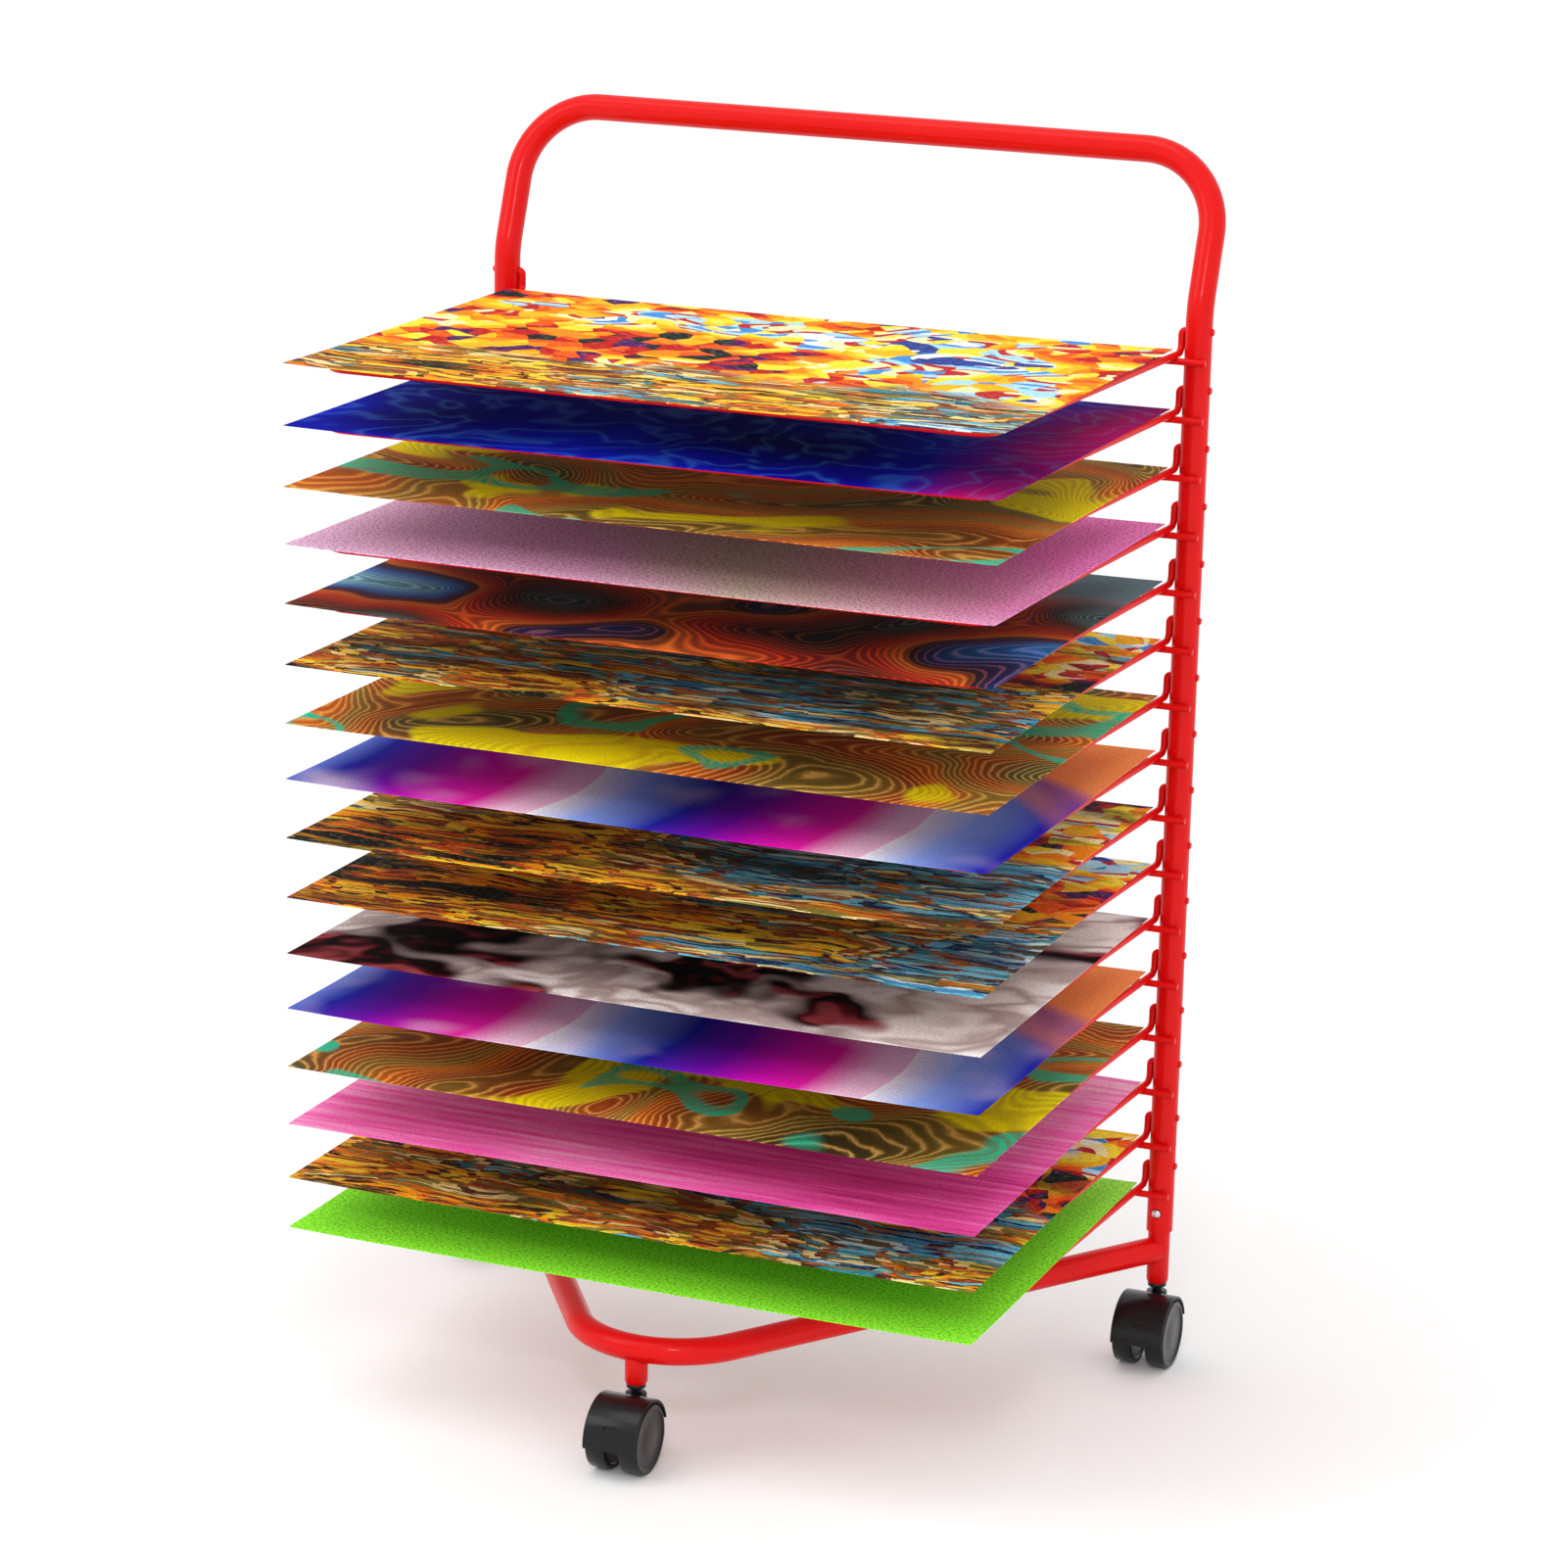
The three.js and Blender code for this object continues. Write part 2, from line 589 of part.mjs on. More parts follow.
const rack = new THREE.Group();
rack.position.y = (rackFront - rackRear) / 2;
rack.add(node('frame_tube', frameTube(), redEnamel));
rack.add(node('base_bow', baseBow(), redEnamel));
rack.add(node('front_caster_tube', frontCasterTube(), redEnamel));
for (const [side, x] of [['left', -postX], ['right', postX]]) {
  rack.add(node(`rear_leg_${side}`, rearLeg(x), redEnamel));
  rack.add(node(`snap_button_${side}`, snapButton(x), steel));
  rack.add(node(`snap_spring_${side}`, snapSpring(x), springSteel));
}
const grille = shelfGrille();
const sheet = sheetOfPaper();
for (let index = 0; index < SHELF_COUNT; index += 1) {
  const number = String(index + 1).padStart(2, '0');
  const level = new THREE.Group();
  level.position.z = pivotHeight(index);
  level.add(node(`shelf_${number}`, grille, redEnamel));
  level.add(node(`sheet_${number}`, sheet, paper));
  rack.add(level);
}
rack.add(caster('front', 0, noseStemY));
rack.add(caster('rear_left', -postX, 0));
rack.add(caster('rear_right', postX, 0));

export default rack;
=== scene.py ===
import json
import math

import bmesh
import bpy
import numpy as np
from mathutils import Matrix


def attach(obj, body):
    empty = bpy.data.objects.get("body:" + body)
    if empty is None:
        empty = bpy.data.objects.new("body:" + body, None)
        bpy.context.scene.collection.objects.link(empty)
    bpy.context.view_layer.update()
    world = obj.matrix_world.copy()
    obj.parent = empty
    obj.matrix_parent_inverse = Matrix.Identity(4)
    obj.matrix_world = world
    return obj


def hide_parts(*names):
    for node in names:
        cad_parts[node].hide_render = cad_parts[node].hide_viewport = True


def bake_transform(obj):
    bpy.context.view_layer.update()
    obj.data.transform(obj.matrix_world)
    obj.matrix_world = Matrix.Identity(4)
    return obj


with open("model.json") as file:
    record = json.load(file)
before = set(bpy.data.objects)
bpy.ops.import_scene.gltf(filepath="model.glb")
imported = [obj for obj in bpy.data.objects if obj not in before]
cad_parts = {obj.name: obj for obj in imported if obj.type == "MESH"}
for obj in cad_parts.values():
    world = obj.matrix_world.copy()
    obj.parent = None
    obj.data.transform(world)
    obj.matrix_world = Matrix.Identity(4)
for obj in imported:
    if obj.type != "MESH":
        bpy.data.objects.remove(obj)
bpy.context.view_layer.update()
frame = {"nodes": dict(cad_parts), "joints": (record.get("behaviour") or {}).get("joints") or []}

# The view: the rack stands a little turned, seen from above its shelves and from its right.
# The camera is a long lens some three and a half metres away, with a slight roll.
post_y = frame["joints"][0]["pos_m"][1]
VIEW_RIGHT = (0.92356, 0.38290, 0.02076)
VIEW_UP = (-0.12018, 0.23762, 0.96390)
VIEW_BACK = (0.36414, -0.89271, 0.26547)
VIEW_PLACE = (1.2455, post_y - 3.1458, 1.3311)


def new_object(name, data):
    """An object for the data, at the origin and linked into the scene."""
    made = bpy.data.objects.new(name, data)
    bpy.context.scene.collection.objects.link(made)
    return made


def stand(thing, right, up, back, place):
    """Puts a camera or a lamp at a place, with the three directions as its own axes."""
    rows = [[right[i], up[i], back[i], place[i]] for i in range(3)]
    thing.matrix_world = Matrix([*rows, [0, 0, 0, 1]])


camera_data = bpy.data.cameras.new("studio_camera")
camera_data.sensor_width = 36.0
camera_data.lens = 110.13
camera_data.clip_end = 60.0
camera = new_object("studio_camera", camera_data)
stand(camera, VIEW_RIGHT, VIEW_UP, VIEW_BACK, VIEW_PLACE)
bpy.context.scene.camera = camera


# Frame: posts and push handle are one bent steel tube, powder coated in glossy red.
# Both posts are drilled through for the shelf pivots, and once in front for a snap button.
POST_RADIUS = 0.0095
TUBE_WALL = 0.0012
POST_X = 0.265
POST_FOOT = 0.097
LEAN_HEIGHT = 0.774
LEAN = math.radians(20.5)
LEAN_BEND = 0.060
HANDLE_REACH = 0.109
HANDLE_BEND = 0.056
BUTTON_HEIGHT = 0.112
BUTTON_HOLE = 0.0037
WIRE_RADIUS = 0.0025
FIT_GAP = 0.0003
TUBE_SIDES = 56
HOLE_RINGS = 0.0045
DRILL_REACH = 0.02
lifts = [joint for joint in frame["joints"] if joint["name"].endswith("_lift")]
pivot_heights = {joint["child"]: joint["pos_m"][2] for joint in lifts}


class Shade:
    """One socket of a material's node tree. Sums on it add Math nodes to the tree."""

    def __init__(self, tree, socket=None):
        self.tree = tree
        self.socket = socket

    def node(self, kind, settings, inputs, out=0):
        """Adds a node with its settings, then its socket values or links, and gives one output."""
        made = self.tree.nodes.new(kind)
        for name, value in settings.items():
            if name == "blend":
                made.color_ramp.interpolation = value
            elif name == "stops":
                ramp = made.color_ramp.elements
                while len(ramp) < len(value):
                    ramp.new(1.0)
                for element, (place, colour) in zip(ramp, value):
                    element.position = place
                    element.color = (*colour, 1.0)
            else:
                setattr(made, name, value)
        for name, value in inputs.items():
            if isinstance(value, Shade):
                self.tree.links.new(value.socket, made.inputs[name])
            else:
                made.inputs[name].default_value = value
        return Shade(self.tree, made.outputs[out])

    def sum(self, operation, *values):
        """A Math node's result from one or more values."""
        return self.node("ShaderNodeMath", {"operation": operation}, dict(enumerate(values)))

    def __add__(self, other):
        return self.sum("ADD", self, other)

    __radd__ = __add__

    def __sub__(self, other):
        return self.sum("SUBTRACT", self, other)

    def __rsub__(self, other):
        return self.sum("SUBTRACT", other, self)

    def __mul__(self, other):
        return self.sum("MULTIPLY", self, other)

    __rmul__ = __mul__

    def __pow__(self, other):
        return self.sum("POWER", self, other)

    def step(self, low, high):
        """Smooth change from 0 at low to 1 at high."""
        inputs = {"Value": self, "From Min": low, "From Max": high}
        return self.node("ShaderNodeMapRange", {"interpolation_type": "SMOOTHSTEP"}, inputs)

    def ramp(self, stops, blend="LINEAR"):
        """Colour for the value from a row of stops, each a value and its colour."""
        return self.node("ShaderNodeValToRGB", {"blend": blend, "stops": stops}, {"Fac": self})

    def mix(self, low, high):
        """Colour low where the value is 0 and colour high where it is 1."""
        ends = [c if isinstance(c, Shade) else (*c, 1.0) for c in (low, high)]
        inputs = {0: self, 6: ends[0], 7: ends[1]}
        return self.node("ShaderNodeMix", {"data_type": "RGBA"}, inputs, out=2)

    def noise(self, scale, detail=4.0, rough=0.55, colour=False):
        """Noise at this place, with scale cells to the metre, as a value or as a colour."""
        inputs = {"Vector": self, "Scale": scale, "Detail": detail, "Roughness": rough}
        return self.node("ShaderNodeTexNoise", {}, inputs, out=1 if colour else 0)

    def stretch(self, x, y, z=1.0):
        """This place with its three parts multiplied."""
        return self.node("ShaderNodeVectorMath", {"operation": "MULTIPLY"}, {0: self, 1: (x, y, z)})

    def shift(self, x, y, z=0.0):
        """This place moved by a fixed step."""
        return self.node("ShaderNodeVectorMath", {"operation": "ADD"}, {0: self, 1: (x, y, z)})

    def bump(self, strength, distance):
        """Normal of a surface with the value as its height."""
        inputs = {"Height": self, "Strength": strength, "Distance": distance}
        return self.node("ShaderNodeBump", {}, inputs)

    def parts(self):
        """The three parts of a vector as values."""
        return [self.node("ShaderNodeSeparateXYZ", {}, {0: self}, out=i) for i in range(3)]

    def pushed(self, scale, reach, detail=3.0):
        """This place moved about by a noise, by up to half the reach each way."""
        push = self.noise(scale, detail, colour=True).shift(-0.5, -0.5, -0.5)
        moved = {0: push, 1: (reach, reach, 0.0), 2: self}
        return self.node("ShaderNodeVectorMath", {"operation": "MULTIPLY_ADD"}, moved)

    def cells(self, x, y):
        """One random value for each cell of a mosaic with x by y cells to the metre."""
        inputs = {"Vector": self.stretch(x, y), "Scale": 1.0}
        return self.node("ShaderNodeTexVoronoi", {}, inputs, out=1).parts()[0]

    def wave(self):
        """Sine of the value, between 0 and 1."""
        return self.sum("SINE", self) * 0.5 + 0.5

    def wider(self, gain):
        """The value spread out from its middle, 0.5."""
        return (self - 0.5) * gain + 0.5


def new_finish(name, **constants):
    """A material with its constant socket values set, and with it its tree and its shader."""
    material = bpy.data.materials.new(name)
    material.use_nodes = True
    shader = material.node_tree.nodes["Principled BSDF"]
    for socket, value in constants.items():
        shader.inputs[socket.replace("_", " ")].default_value = value
    return material, Shade(material.node_tree), shader


def feed(shader, **shades):
    """Links shades that change over the surface to the shader's sockets."""
    for socket, shade in shades.items():
        shade.tree.links.new(shade.socket, shader.inputs[socket.replace("_", " ")])


def own_place(tree):
    """Place on a piece, in metres, from its Object coordinates."""
    return tree.node("ShaderNodeTexCoord", {}, {}, out=3)


def red_enamel():
    """Powder coat: an even red with faint clouding, orange-peel ripple and a clear gloss."""
    gloss = {"Specular_IOR_Level": 0.10, "Coat_Roughness": 0.08}
    material, tree, shader = new_finish("red_enamel", Metallic=0.0, **gloss)
    place = own_place(tree)
    cloud = place.noise(9.0, 3.0)
    peel = place.noise(900.0, 2.0)
    speck = place.noise(260.0, 5.0, 0.7).step(0.66, 0.74)
    hue = cloud.mix((0.66, 0.002, 0.002), (0.76, 0.004, 0.004))
    feed(
        shader,
        Base_Color=(speck * 0.35).mix(hue, (0.40, 0.002, 0.003)),
        Roughness=0.30 + cloud * 0.10 + speck * 0.08,
        Coat_Weight=0.12 + cloud * 0.10,
        Normal=peel.bump(0.12, 0.0004),
    )
    return material


RED = red_enamel()


def rounded_line(corners, radii, bend_points):
    """Centre line of straight runs and circular bends. A bend starts its radius times the tangent
    of half the turn before the corner, and turns about the normal of the two runs."""
    corners = np.asarray(corners, float)
    line = [corners[:1]]
    for before, corner, after, radius in zip(corners, corners[1:], corners[2:], radii):
        inward = (corner - before) / np.linalg.norm(corner - before)
        outward = (after - corner) / np.linalg.norm(after - corner)
        turn = math.acos(np.clip(inward @ outward, -1, 1))
        side = outward - inward * (inward @ outward)
        side /= np.linalg.norm(side)
        start = corner - inward * radius * math.tan(turn / 2)
        angle = np.linspace(0, turn, bend_points)[:, None]
        line.append(start + radius * (np.sin(angle) * inward + (1 - np.cos(angle)) * side))
    line.append(corners[-1:])
    return np.concatenate(line)


def add_points(line, heights, reach, shortest=0.2):
    """Extra points on the long upright runs of a line, a little above and below each height."""
    extra = np.array([h + d for h in heights for d in (-reach, reach)])
    rows = [line[:1]]
    for a, b in zip(line, line[1:]):
        rise = b[2] - a[2]
        if abs(rise) > shortest:
            share = np.sort((extra - a[2]) / rise)
            share = share[(share > 0) & (share < 1)]
            rows.append(a + share[:, None] * (b - a))
        rows.append(b[None])
    return np.concatenate(rows)


def ring_axes(line):
    """Two axes square to the line at each point. The tangent is the mean of the two runs that meet
    there, and the first axis is carried from point to point with no twist."""
    runs = np.diff(line, axis=0)
    runs /= np.linalg.norm(runs, axis=1)[:, None]
    tangent = np.concatenate([runs[:1], runs[:-1] + runs[1:], runs[-1:]])
    tangent /= np.linalg.norm(tangent, axis=1)[:, None]
    first = np.cross(tangent[0], np.eye(3)[np.argmin(np.abs(tangent[0]))])
    axes = np.empty_like(line)
    for i, t in enumerate(tangent):
        first = first - t * (first @ t)
        first /= np.linalg.norm(first)
        axes[i] = first
    return axes, np.cross(tangent, axes)


def round_profile(radius, sides):
    """Points of a circle."""
    angle = np.linspace(0, 2 * np.pi, sides, endpoint=False)
    return radius * np.stack([np.cos(angle), np.sin(angle)], 1)


def strip_profile(half_thick, half_width, sides):
    """Flat strip with half-round edges, its thickness first and its width second."""
    angle = np.linspace(0, 2 * np.pi, sides, endpoint=False)
    width = (half_width - half_thick) * np.sign(np.cos(angle)) + half_thick * np.cos(angle)
    return np.stack([half_thick * np.sin(angle), width], 1)


def carried(line, profile):
    """Closed profile carried along a line: point plus profile x and y times the ring's two axes."""
    first, second = ring_axes(line)
    across = profile[None, :, :1] * first[:, None]
    return line[:, None] + across + profile[None, :, 1:] * second[:, None]


def ring_quads(rings, sides, closed=False):
    """Faces between neighbouring rings of a grid, wrapping round each ring."""
    i = np.arange(rings if closed else rings - 1)[:, None]
    j = np.arange(sides)[None]
    k = (j + 1) % sides
    n = (i + 1) % rings
    return np.stack([i * sides + j, i * sides + k, n * sides + k, n * sides + j], 2).reshape(-1, 4)


def capped(rings):
    """Shell from a row of rings, with a flat face over the first and the last."""
    count, sides = rings.shape[:2]
    faces = ring_quads(count, sides).tolist()
    faces += [list(range(sides))[::-1], list(range((count - 1) * sides, count * sides))]
    return rings.reshape(-1, 3), faces


def solid_bar(line, radius, sides):
    """Round bar along a line with flat ends."""
    return capped(carried(line, round_profile(radius, sides)))


def hollow_bar(line, radius, wall, sides):
    """Open tube along a line: an outer and an inner carried ring, joined by a rim at each end."""
    outer = carried(line, round_profile(radius, sides))
    inner = carried(line, round_profile(radius - wall, sides))
    rings = np.concatenate([outer, inner[::-1]])
    return rings.reshape(-1, 3), ring_quads(len(rings), sides, closed=True).tolist()


def turned(profile, sides, centre=(0, 0, 0), along="z"):
    """Profile of radius and height turned about an axis. It closes on itself or ends on it."""
    profile = np.asarray(profile, float)
    angle = np.linspace(0, 2 * np.pi, sides, endpoint=False)
    flat = profile[:, None, :1] * np.stack([np.cos(angle), np.sin(angle)], 1)[None]
    height = np.broadcast_to(profile[:, None, 1:], (*flat.shape[:2], 1))
    order = {"z": [0, 1, 2], "x": [2, 0, 1]}[along]
    rings = np.concatenate([flat, height], 2)[..., order] + np.asarray(centre)
    return rings.reshape(-1, 3), ring_quads(len(profile), sides).tolist()


def smooth(mesh, sharp=40):
    """Smooth shading, but for edges that turn by more than the sharp angle, in degrees."""
    mesh.shade_smooth()
    mesh.set_sharp_from_angle(angle=math.radians(sharp))


def new_piece(name, shells, finish, sharp=40):
    """One object from one or more closed shells, with doubles merged and faces turned outwards."""
    points = []
    faces = []
    for shell_points, shell_faces in shells:
        base = sum(len(p) for p in points)
        points.append(shell_points)
        faces += [[base + corner for corner in face] for face in shell_faces]
    mesh = bpy.data.meshes.new(name)
    mesh.from_pydata(np.concatenate(points).tolist(), [], faces)
    work = bmesh.new()
    work.from_mesh(mesh)
    bmesh.ops.remove_doubles(work, verts=work.verts, dist=1e-6)
    bmesh.ops.dissolve_degenerate(work, edges=work.edges, dist=1e-7)
    bmesh.ops.recalc_face_normals(work, faces=work.faces)
    work.to_mesh(mesh)
    work.free()
    smooth(mesh, sharp)
    mesh.materials.append(finish)
    return new_object(name, mesh)


def cut_away(piece, shells):
    """Takes the tool shells out of a piece and leaves the result in its mesh."""
    tool = new_piece("cutting_tool", shells, piece.data.materials[0])
    cut = piece.modifiers.new("cut", "BOOLEAN")
    cut.operation = "DIFFERENCE"
    cut.solver = "EXACT"
    cut.object = tool
    shaped = piece.evaluated_get(bpy.context.evaluated_depsgraph_get())
    mesh = bpy.data.meshes.new_from_object(shaped)
    piece.modifiers.clear()
    piece.data = mesh
    smooth(mesh)
    bpy.data.objects.remove(tool)


def button_drill(x):
    """Cutter for a button hole, from a post's middle out through its front."""
    line = np.array([(x, post_y, BUTTON_HEIGHT), (x, post_y - DRILL_REACH, BUTTON_HEIGHT)])
    return solid_bar(line, BUTTON_HOLE, 28)


def fit(piece, node, body):
    """Lets a piece stand for a node, whose part it hides, and ride on a body."""
    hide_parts(node)
    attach(piece, body)


handle_y = post_y + HANDLE_REACH * math.sin(LEAN)
handle_z = LEAN_HEIGHT + HANDLE_REACH * math.cos(LEAN)
frame_line = rounded_line(
    [
        (POST_X, post_y, POST_FOOT),
        (POST_X, post_y, LEAN_HEIGHT),
        (POST_X, handle_y, handle_z),
        (-POST_X, handle_y, handle_z),
        (-POST_X, post_y, LEAN_HEIGHT),
        (-POST_X, post_y, POST_FOOT),
    ],
    [LEAN_BEND, HANDLE_BEND, HANDLE_BEND, LEAN_BEND],
    24,
)
frame_line = add_points(frame_line, [*pivot_heights.values(), BUTTON_HEIGHT], HOLE_RINGS)
frame_shell = hollow_bar(frame_line, POST_RADIUS, TUBE_WALL, TUBE_SIDES)
frame_tube = new_piece("red_frame", [frame_shell], RED)
drills = []
for height in pivot_heights.values():
    reach = POST_X + DRILL_REACH
    drill_line = np.array([(-reach, post_y, height), (reach, post_y, height)])
    drills.append(solid_bar(drill_line, WIRE_RADIUS + FIT_GAP, 20))
drills += [button_drill(x) for x in (-POST_X, POST_X)]
cut_away(frame_tube, drills)
fit(frame_tube, "frame_tube", "frame")


# Base: two thinner legs plug into the posts, and a V-shaped bow with a round nose is welded
# between them. A short tube under the nose takes the front caster. All red powder coat.
LEG_RADIUS = 0.008
LEG_FOOT = 0.057
LEG_TOP = 0.137
BOW_RADIUS = 0.0095
BOW_HEIGHT = 0.082
BOW_REACH = 0.338
NOSE_RADIUS = 0.070
LEG_BORE = LEG_RADIUS - TUBE_WALL
RIM_LIP = 0.0004
RIM_DRAWN = np.array([(-0.0008, 0.0002), (-0.0003, 0.0011), (0.0, 0.0024)])
RIM_INSIDE = 0.0006
SADDLE = 0.001
LEG_CUT_FOOT = 0.05
LEG_CUT_TOP = 0.11


def leg_shell(bottom, top, x, y):
    """Open upright tube with its lower rim drawn in: a wall profile, up outside and down inside,
    turned about the tube's middle."""
    lip = (LEG_BORE + RIM_LIP, bottom)
    outside = RIM_DRAWN + (LEG_RADIUS, bottom)
    inside = [(LEG_RADIUS, top), (LEG_BORE, top), (LEG_BORE, bottom + RIM_INSIDE)]
    return turned([lip, *outside, *inside, lip], TUBE_SIDES, (x, y, 0))


for side, x in (("left", -POST_X), ("right", POST_X)):
    leg = new_piece(f"red_leg_{side}", [leg_shell(LEG_FOOT, LEG_TOP, x, post_y)], RED)
    cut_away(leg, [button_drill(x)])
    fit(leg, f"rear_leg_{side}", "frame")

nose_y = -BOW_REACH + NOSE_RADIUS
arm_angle = math.atan2(-nose_y, POST_X) + math.asin(NOSE_RADIUS / math.hypot(POST_X, nose_y))
tip_y = -POST_X * math.tan(arm_angle)
bow_line = rounded_line(
    [
        (POST_X, post_y, BOW_HEIGHT),
        (0, post_y + tip_y, BOW_HEIGHT),
        (-POST_X, post_y, BOW_HEIGHT),
    ],
    [NOSE_RADIUS],
    48,
)
bow = new_piece("red_bow", [hollow_bar(bow_line, BOW_RADIUS, TUBE_WALL, TUBE_SIDES)], RED)
cutters = []
for x in (-POST_X, POST_X):
    leg_line = np.array([(x, post_y, LEG_CUT_FOOT), (x, post_y, LEG_CUT_TOP)])
    cutters.append(solid_bar(leg_line, LEG_RADIUS + FIT_GAP, TUBE_SIDES))
front_y = post_y - BOW_REACH
stem_line = np.array([(0, front_y, LEG_FOOT), (0, front_y, BOW_HEIGHT)])
cut_away(bow, [*cutters, solid_bar(stem_line, LEG_BORE, 40)])
fit(bow, "base_bow", "frame")

nose_shell = leg_shell(LEG_FOOT, BOW_HEIGHT - SADDLE, 0, front_y)
nose_tube = new_piece("red_nose_tube", [nose_shell], RED)
cut_away(nose_tube, [solid_bar(bow_line, BOW_RADIUS + FIT_GAP, 40)])
fit(nose_tube, "front_caster_tube", "frame")


# Snap buttons: domed steel pins on a flange inside the leg, standing out through the post's
# front. Behind each one a bent spring strip in the leg gives way as the button is pushed in.
BUTTON_RADIUS = 0.0032
BUTTON_PROUD = 0.0018
DOME_RISE = 0.0016
BUTTON_FLANGE = 0.0045
FLANGE_THICK = 0.0015
FLANGE_EASE = 0.0003
STRIP_HALF = 0.003
STRIP_THICK = 0.0008
STRIP_RISE = 0.018
STRIP_TAIL = 0.008
STRIP_BEND = 0.003
STRIP_TIP = 0.0006
CAD_TUBE_SIDES = 12


def plated_steel(name, colour, streak_scale):
    """Bright steel with fine drawn streaks and a little clouding in its gloss."""
    material, tree, shader = new_finish(name, Metallic=1.0)
    place = own_place(tree)
    streak = place.stretch(streak_scale, streak_scale, 40.0).noise(1.0, 3.0)
    cloud = place.noise(120.0, 3.0)
    feed(
        shader,
        Base_Color=cloud.mix([c * 0.86 for c in colour], colour),
        Roughness=0.16 + streak * 0.14 + cloud * 0.06,
        Normal=streak.bump(0.05, 0.0002),
    )
    return material


BRIGHT_STEEL = plated_steel("bright_steel", (0.74, 0.75, 0.77), 900.0)
SPRING_STEEL = plated_steel("spring_steel", (0.40, 0.41, 0.43), 700.0)

leg_bore_flat = LEG_BORE * math.cos(math.pi / CAD_TUBE_SIDES)
flange_top = math.sqrt((leg_bore_flat - FIT_GAP) ** 2 - BUTTON_FLANGE ** 2)
flange_back = flange_top - FLANGE_THICK
dome_foot = POST_RADIUS + BUTTON_PROUD - DOME_RISE
dome_angle = np.linspace(0, np.pi / 2, 12)
dome_height = dome_foot + DOME_RISE * np.sin(dome_angle)
button_profile = [
    (0, flange_back),
    (BUTTON_FLANGE - FLANGE_EASE, flange_back),
    (BUTTON_FLANGE, flange_back + FLANGE_EASE),
    (BUTTON_FLANGE, flange_top),
    (BUTTON_RADIUS, flange_top),
    *zip(BUTTON_RADIUS * np.cos(dome_angle), dome_height),
]
front_arm = -(flange_back - FIT_GAP - STRIP_THICK / 2)
rear_arm = math.sqrt((leg_bore_flat - FIT_GAP) ** 2 - STRIP_HALF ** 2) - STRIP_THICK / 2
strip_path = rounded_line(
    [
        (front_arm, -STRIP_HALF),
        (front_arm, STRIP_HALF),
        (0, STRIP_RISE - STRIP_THICK),
        (rear_arm, -STRIP_TAIL),
    ],
    [STRIP_BEND, STRIP_TIP],
    10,
)
strip_section = strip_profile(STRIP_THICK / 2, STRIP_HALF, 24)
rear_run = np.array([0, rear_arm, -STRIP_TAIL - STRIP_RISE])
give_way = np.array([0, rear_run[2], -rear_run[1]]) / np.linalg.norm(rear_run)
strip_give = give_way * (give_way @ (0, front_arm, STRIP_HALF - STRIP_RISE))
for side, x in (("left", -POST_X), ("right", POST_X)):
    points, faces = turned(button_profile, 48)
    points = points[:, [0, 2, 1]] * (1, -1, 1) + (x, post_y, BUTTON_HEIGHT)
    button = new_piece(f"steel_button_{side}", [(points, faces)], BRIGHT_STEEL)
    fit(button, f"snap_button_{side}", f"button_{side}")
    strip_line = np.insert(strip_path, 0, 0, axis=1) + (x, post_y, BUTTON_HEIGHT)
    strip_shell = capped(carried(strip_line, strip_section))
    spring = new_piece(f"spring_strip_{side}", [strip_shell], SPRING_STEEL)
    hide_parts(f"snap_spring_{side}")
    apex = np.array([x, post_y, BUTTON_HEIGHT + STRIP_RISE])
    tuple(apex + strip_give)
    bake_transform(spring)


# Casters: black moulded twin-wheel swivel casters. Each has a hood over both wheels with a small
# moulded slot in front, a black stem, and a plastic socket pressed into the tube's foot.
WHEEL_RADIUS = 0.025
WHEEL_WIDTH = 0.0142
WHEEL_INNER = 0.0053
WHEEL_BORE = 0.009
WHEEL_HUB = 0.0075
WHEEL_WELL = 0.0200
WHEEL_DISH = 0.0218
WHEEL_CAP = 0.0100
WHEEL_CLEAR = 0.0007
CAD_WHEEL_SIDES = 16
AXLE_HEIGHT = WHEEL_RADIUS * math.cos(math.pi / CAD_WHEEL_SIDES)
AXLE_RADIUS = 0.003
TRAIL = 0.018
HOOD_INNER = 0.0264
HOOD_OUTER = 0.0282
HOOD_HALF = WHEEL_INNER + WHEEL_WIDTH
HOOD_WEB = 0.009
HOOD_FRONT = math.radians(-4)
HOOD_REAR = math.radians(165)
WEB_FRONT = math.radians(35)
WEB_BELLY = 0.006
SLOT_HALF_WIDTH = 0.0055
SLOT_HALF_HEIGHT = 0.0021
SLOT_DEPTH = 0.0011
SLOT_ANGLE = math.radians(28)
BOSS_TOP = 0.050
BOSS_RADIUS = 0.0075
BOSS_DEPTH = 0.016
STEM_RADIUS = 0.0035
STEM_SINK = 0.010
STEM_RISE = 0.0170
SOCKET_COLLAR = 0.0068
COLLAR_DEPTH = 0.003
SOCKET_DEPTH = 0.020
CUTTER_REACH = 0.03


def black_plastic(name, gloss, scuffed):
    """Moulded black plastic: fine grain, soft flow marks and pale scuffs where it is worn."""
    sheen = {"Specular_IOR_Level": 0.22, "Coat_Roughness": 0.12}
    material, tree, shader = new_finish(name, Metallic=0.0, **sheen)
    place = own_place(tree)
    grain = place.noise(1400.0, 2.0)
    flow = place.noise(60.0, 3.0)
    scuff = place.stretch(1.0, 1.0, 3.0).noise(330.0, 6.0, 0.75).step(0.62, 0.78) * scuffed
    feed(
        shader,
        Base_Color=scuff.mix((0.004, 0.004, 0.0045), (0.03, 0.03, 0.031)),
        Roughness=gloss + flow * 0.10 + scuff * 0.25,
        Coat_Weight=0.16 - scuff * 0.1,
        Normal=(grain * 0.4 + flow * 0.6).bump(0.10, 0.0003),
    )
    return material


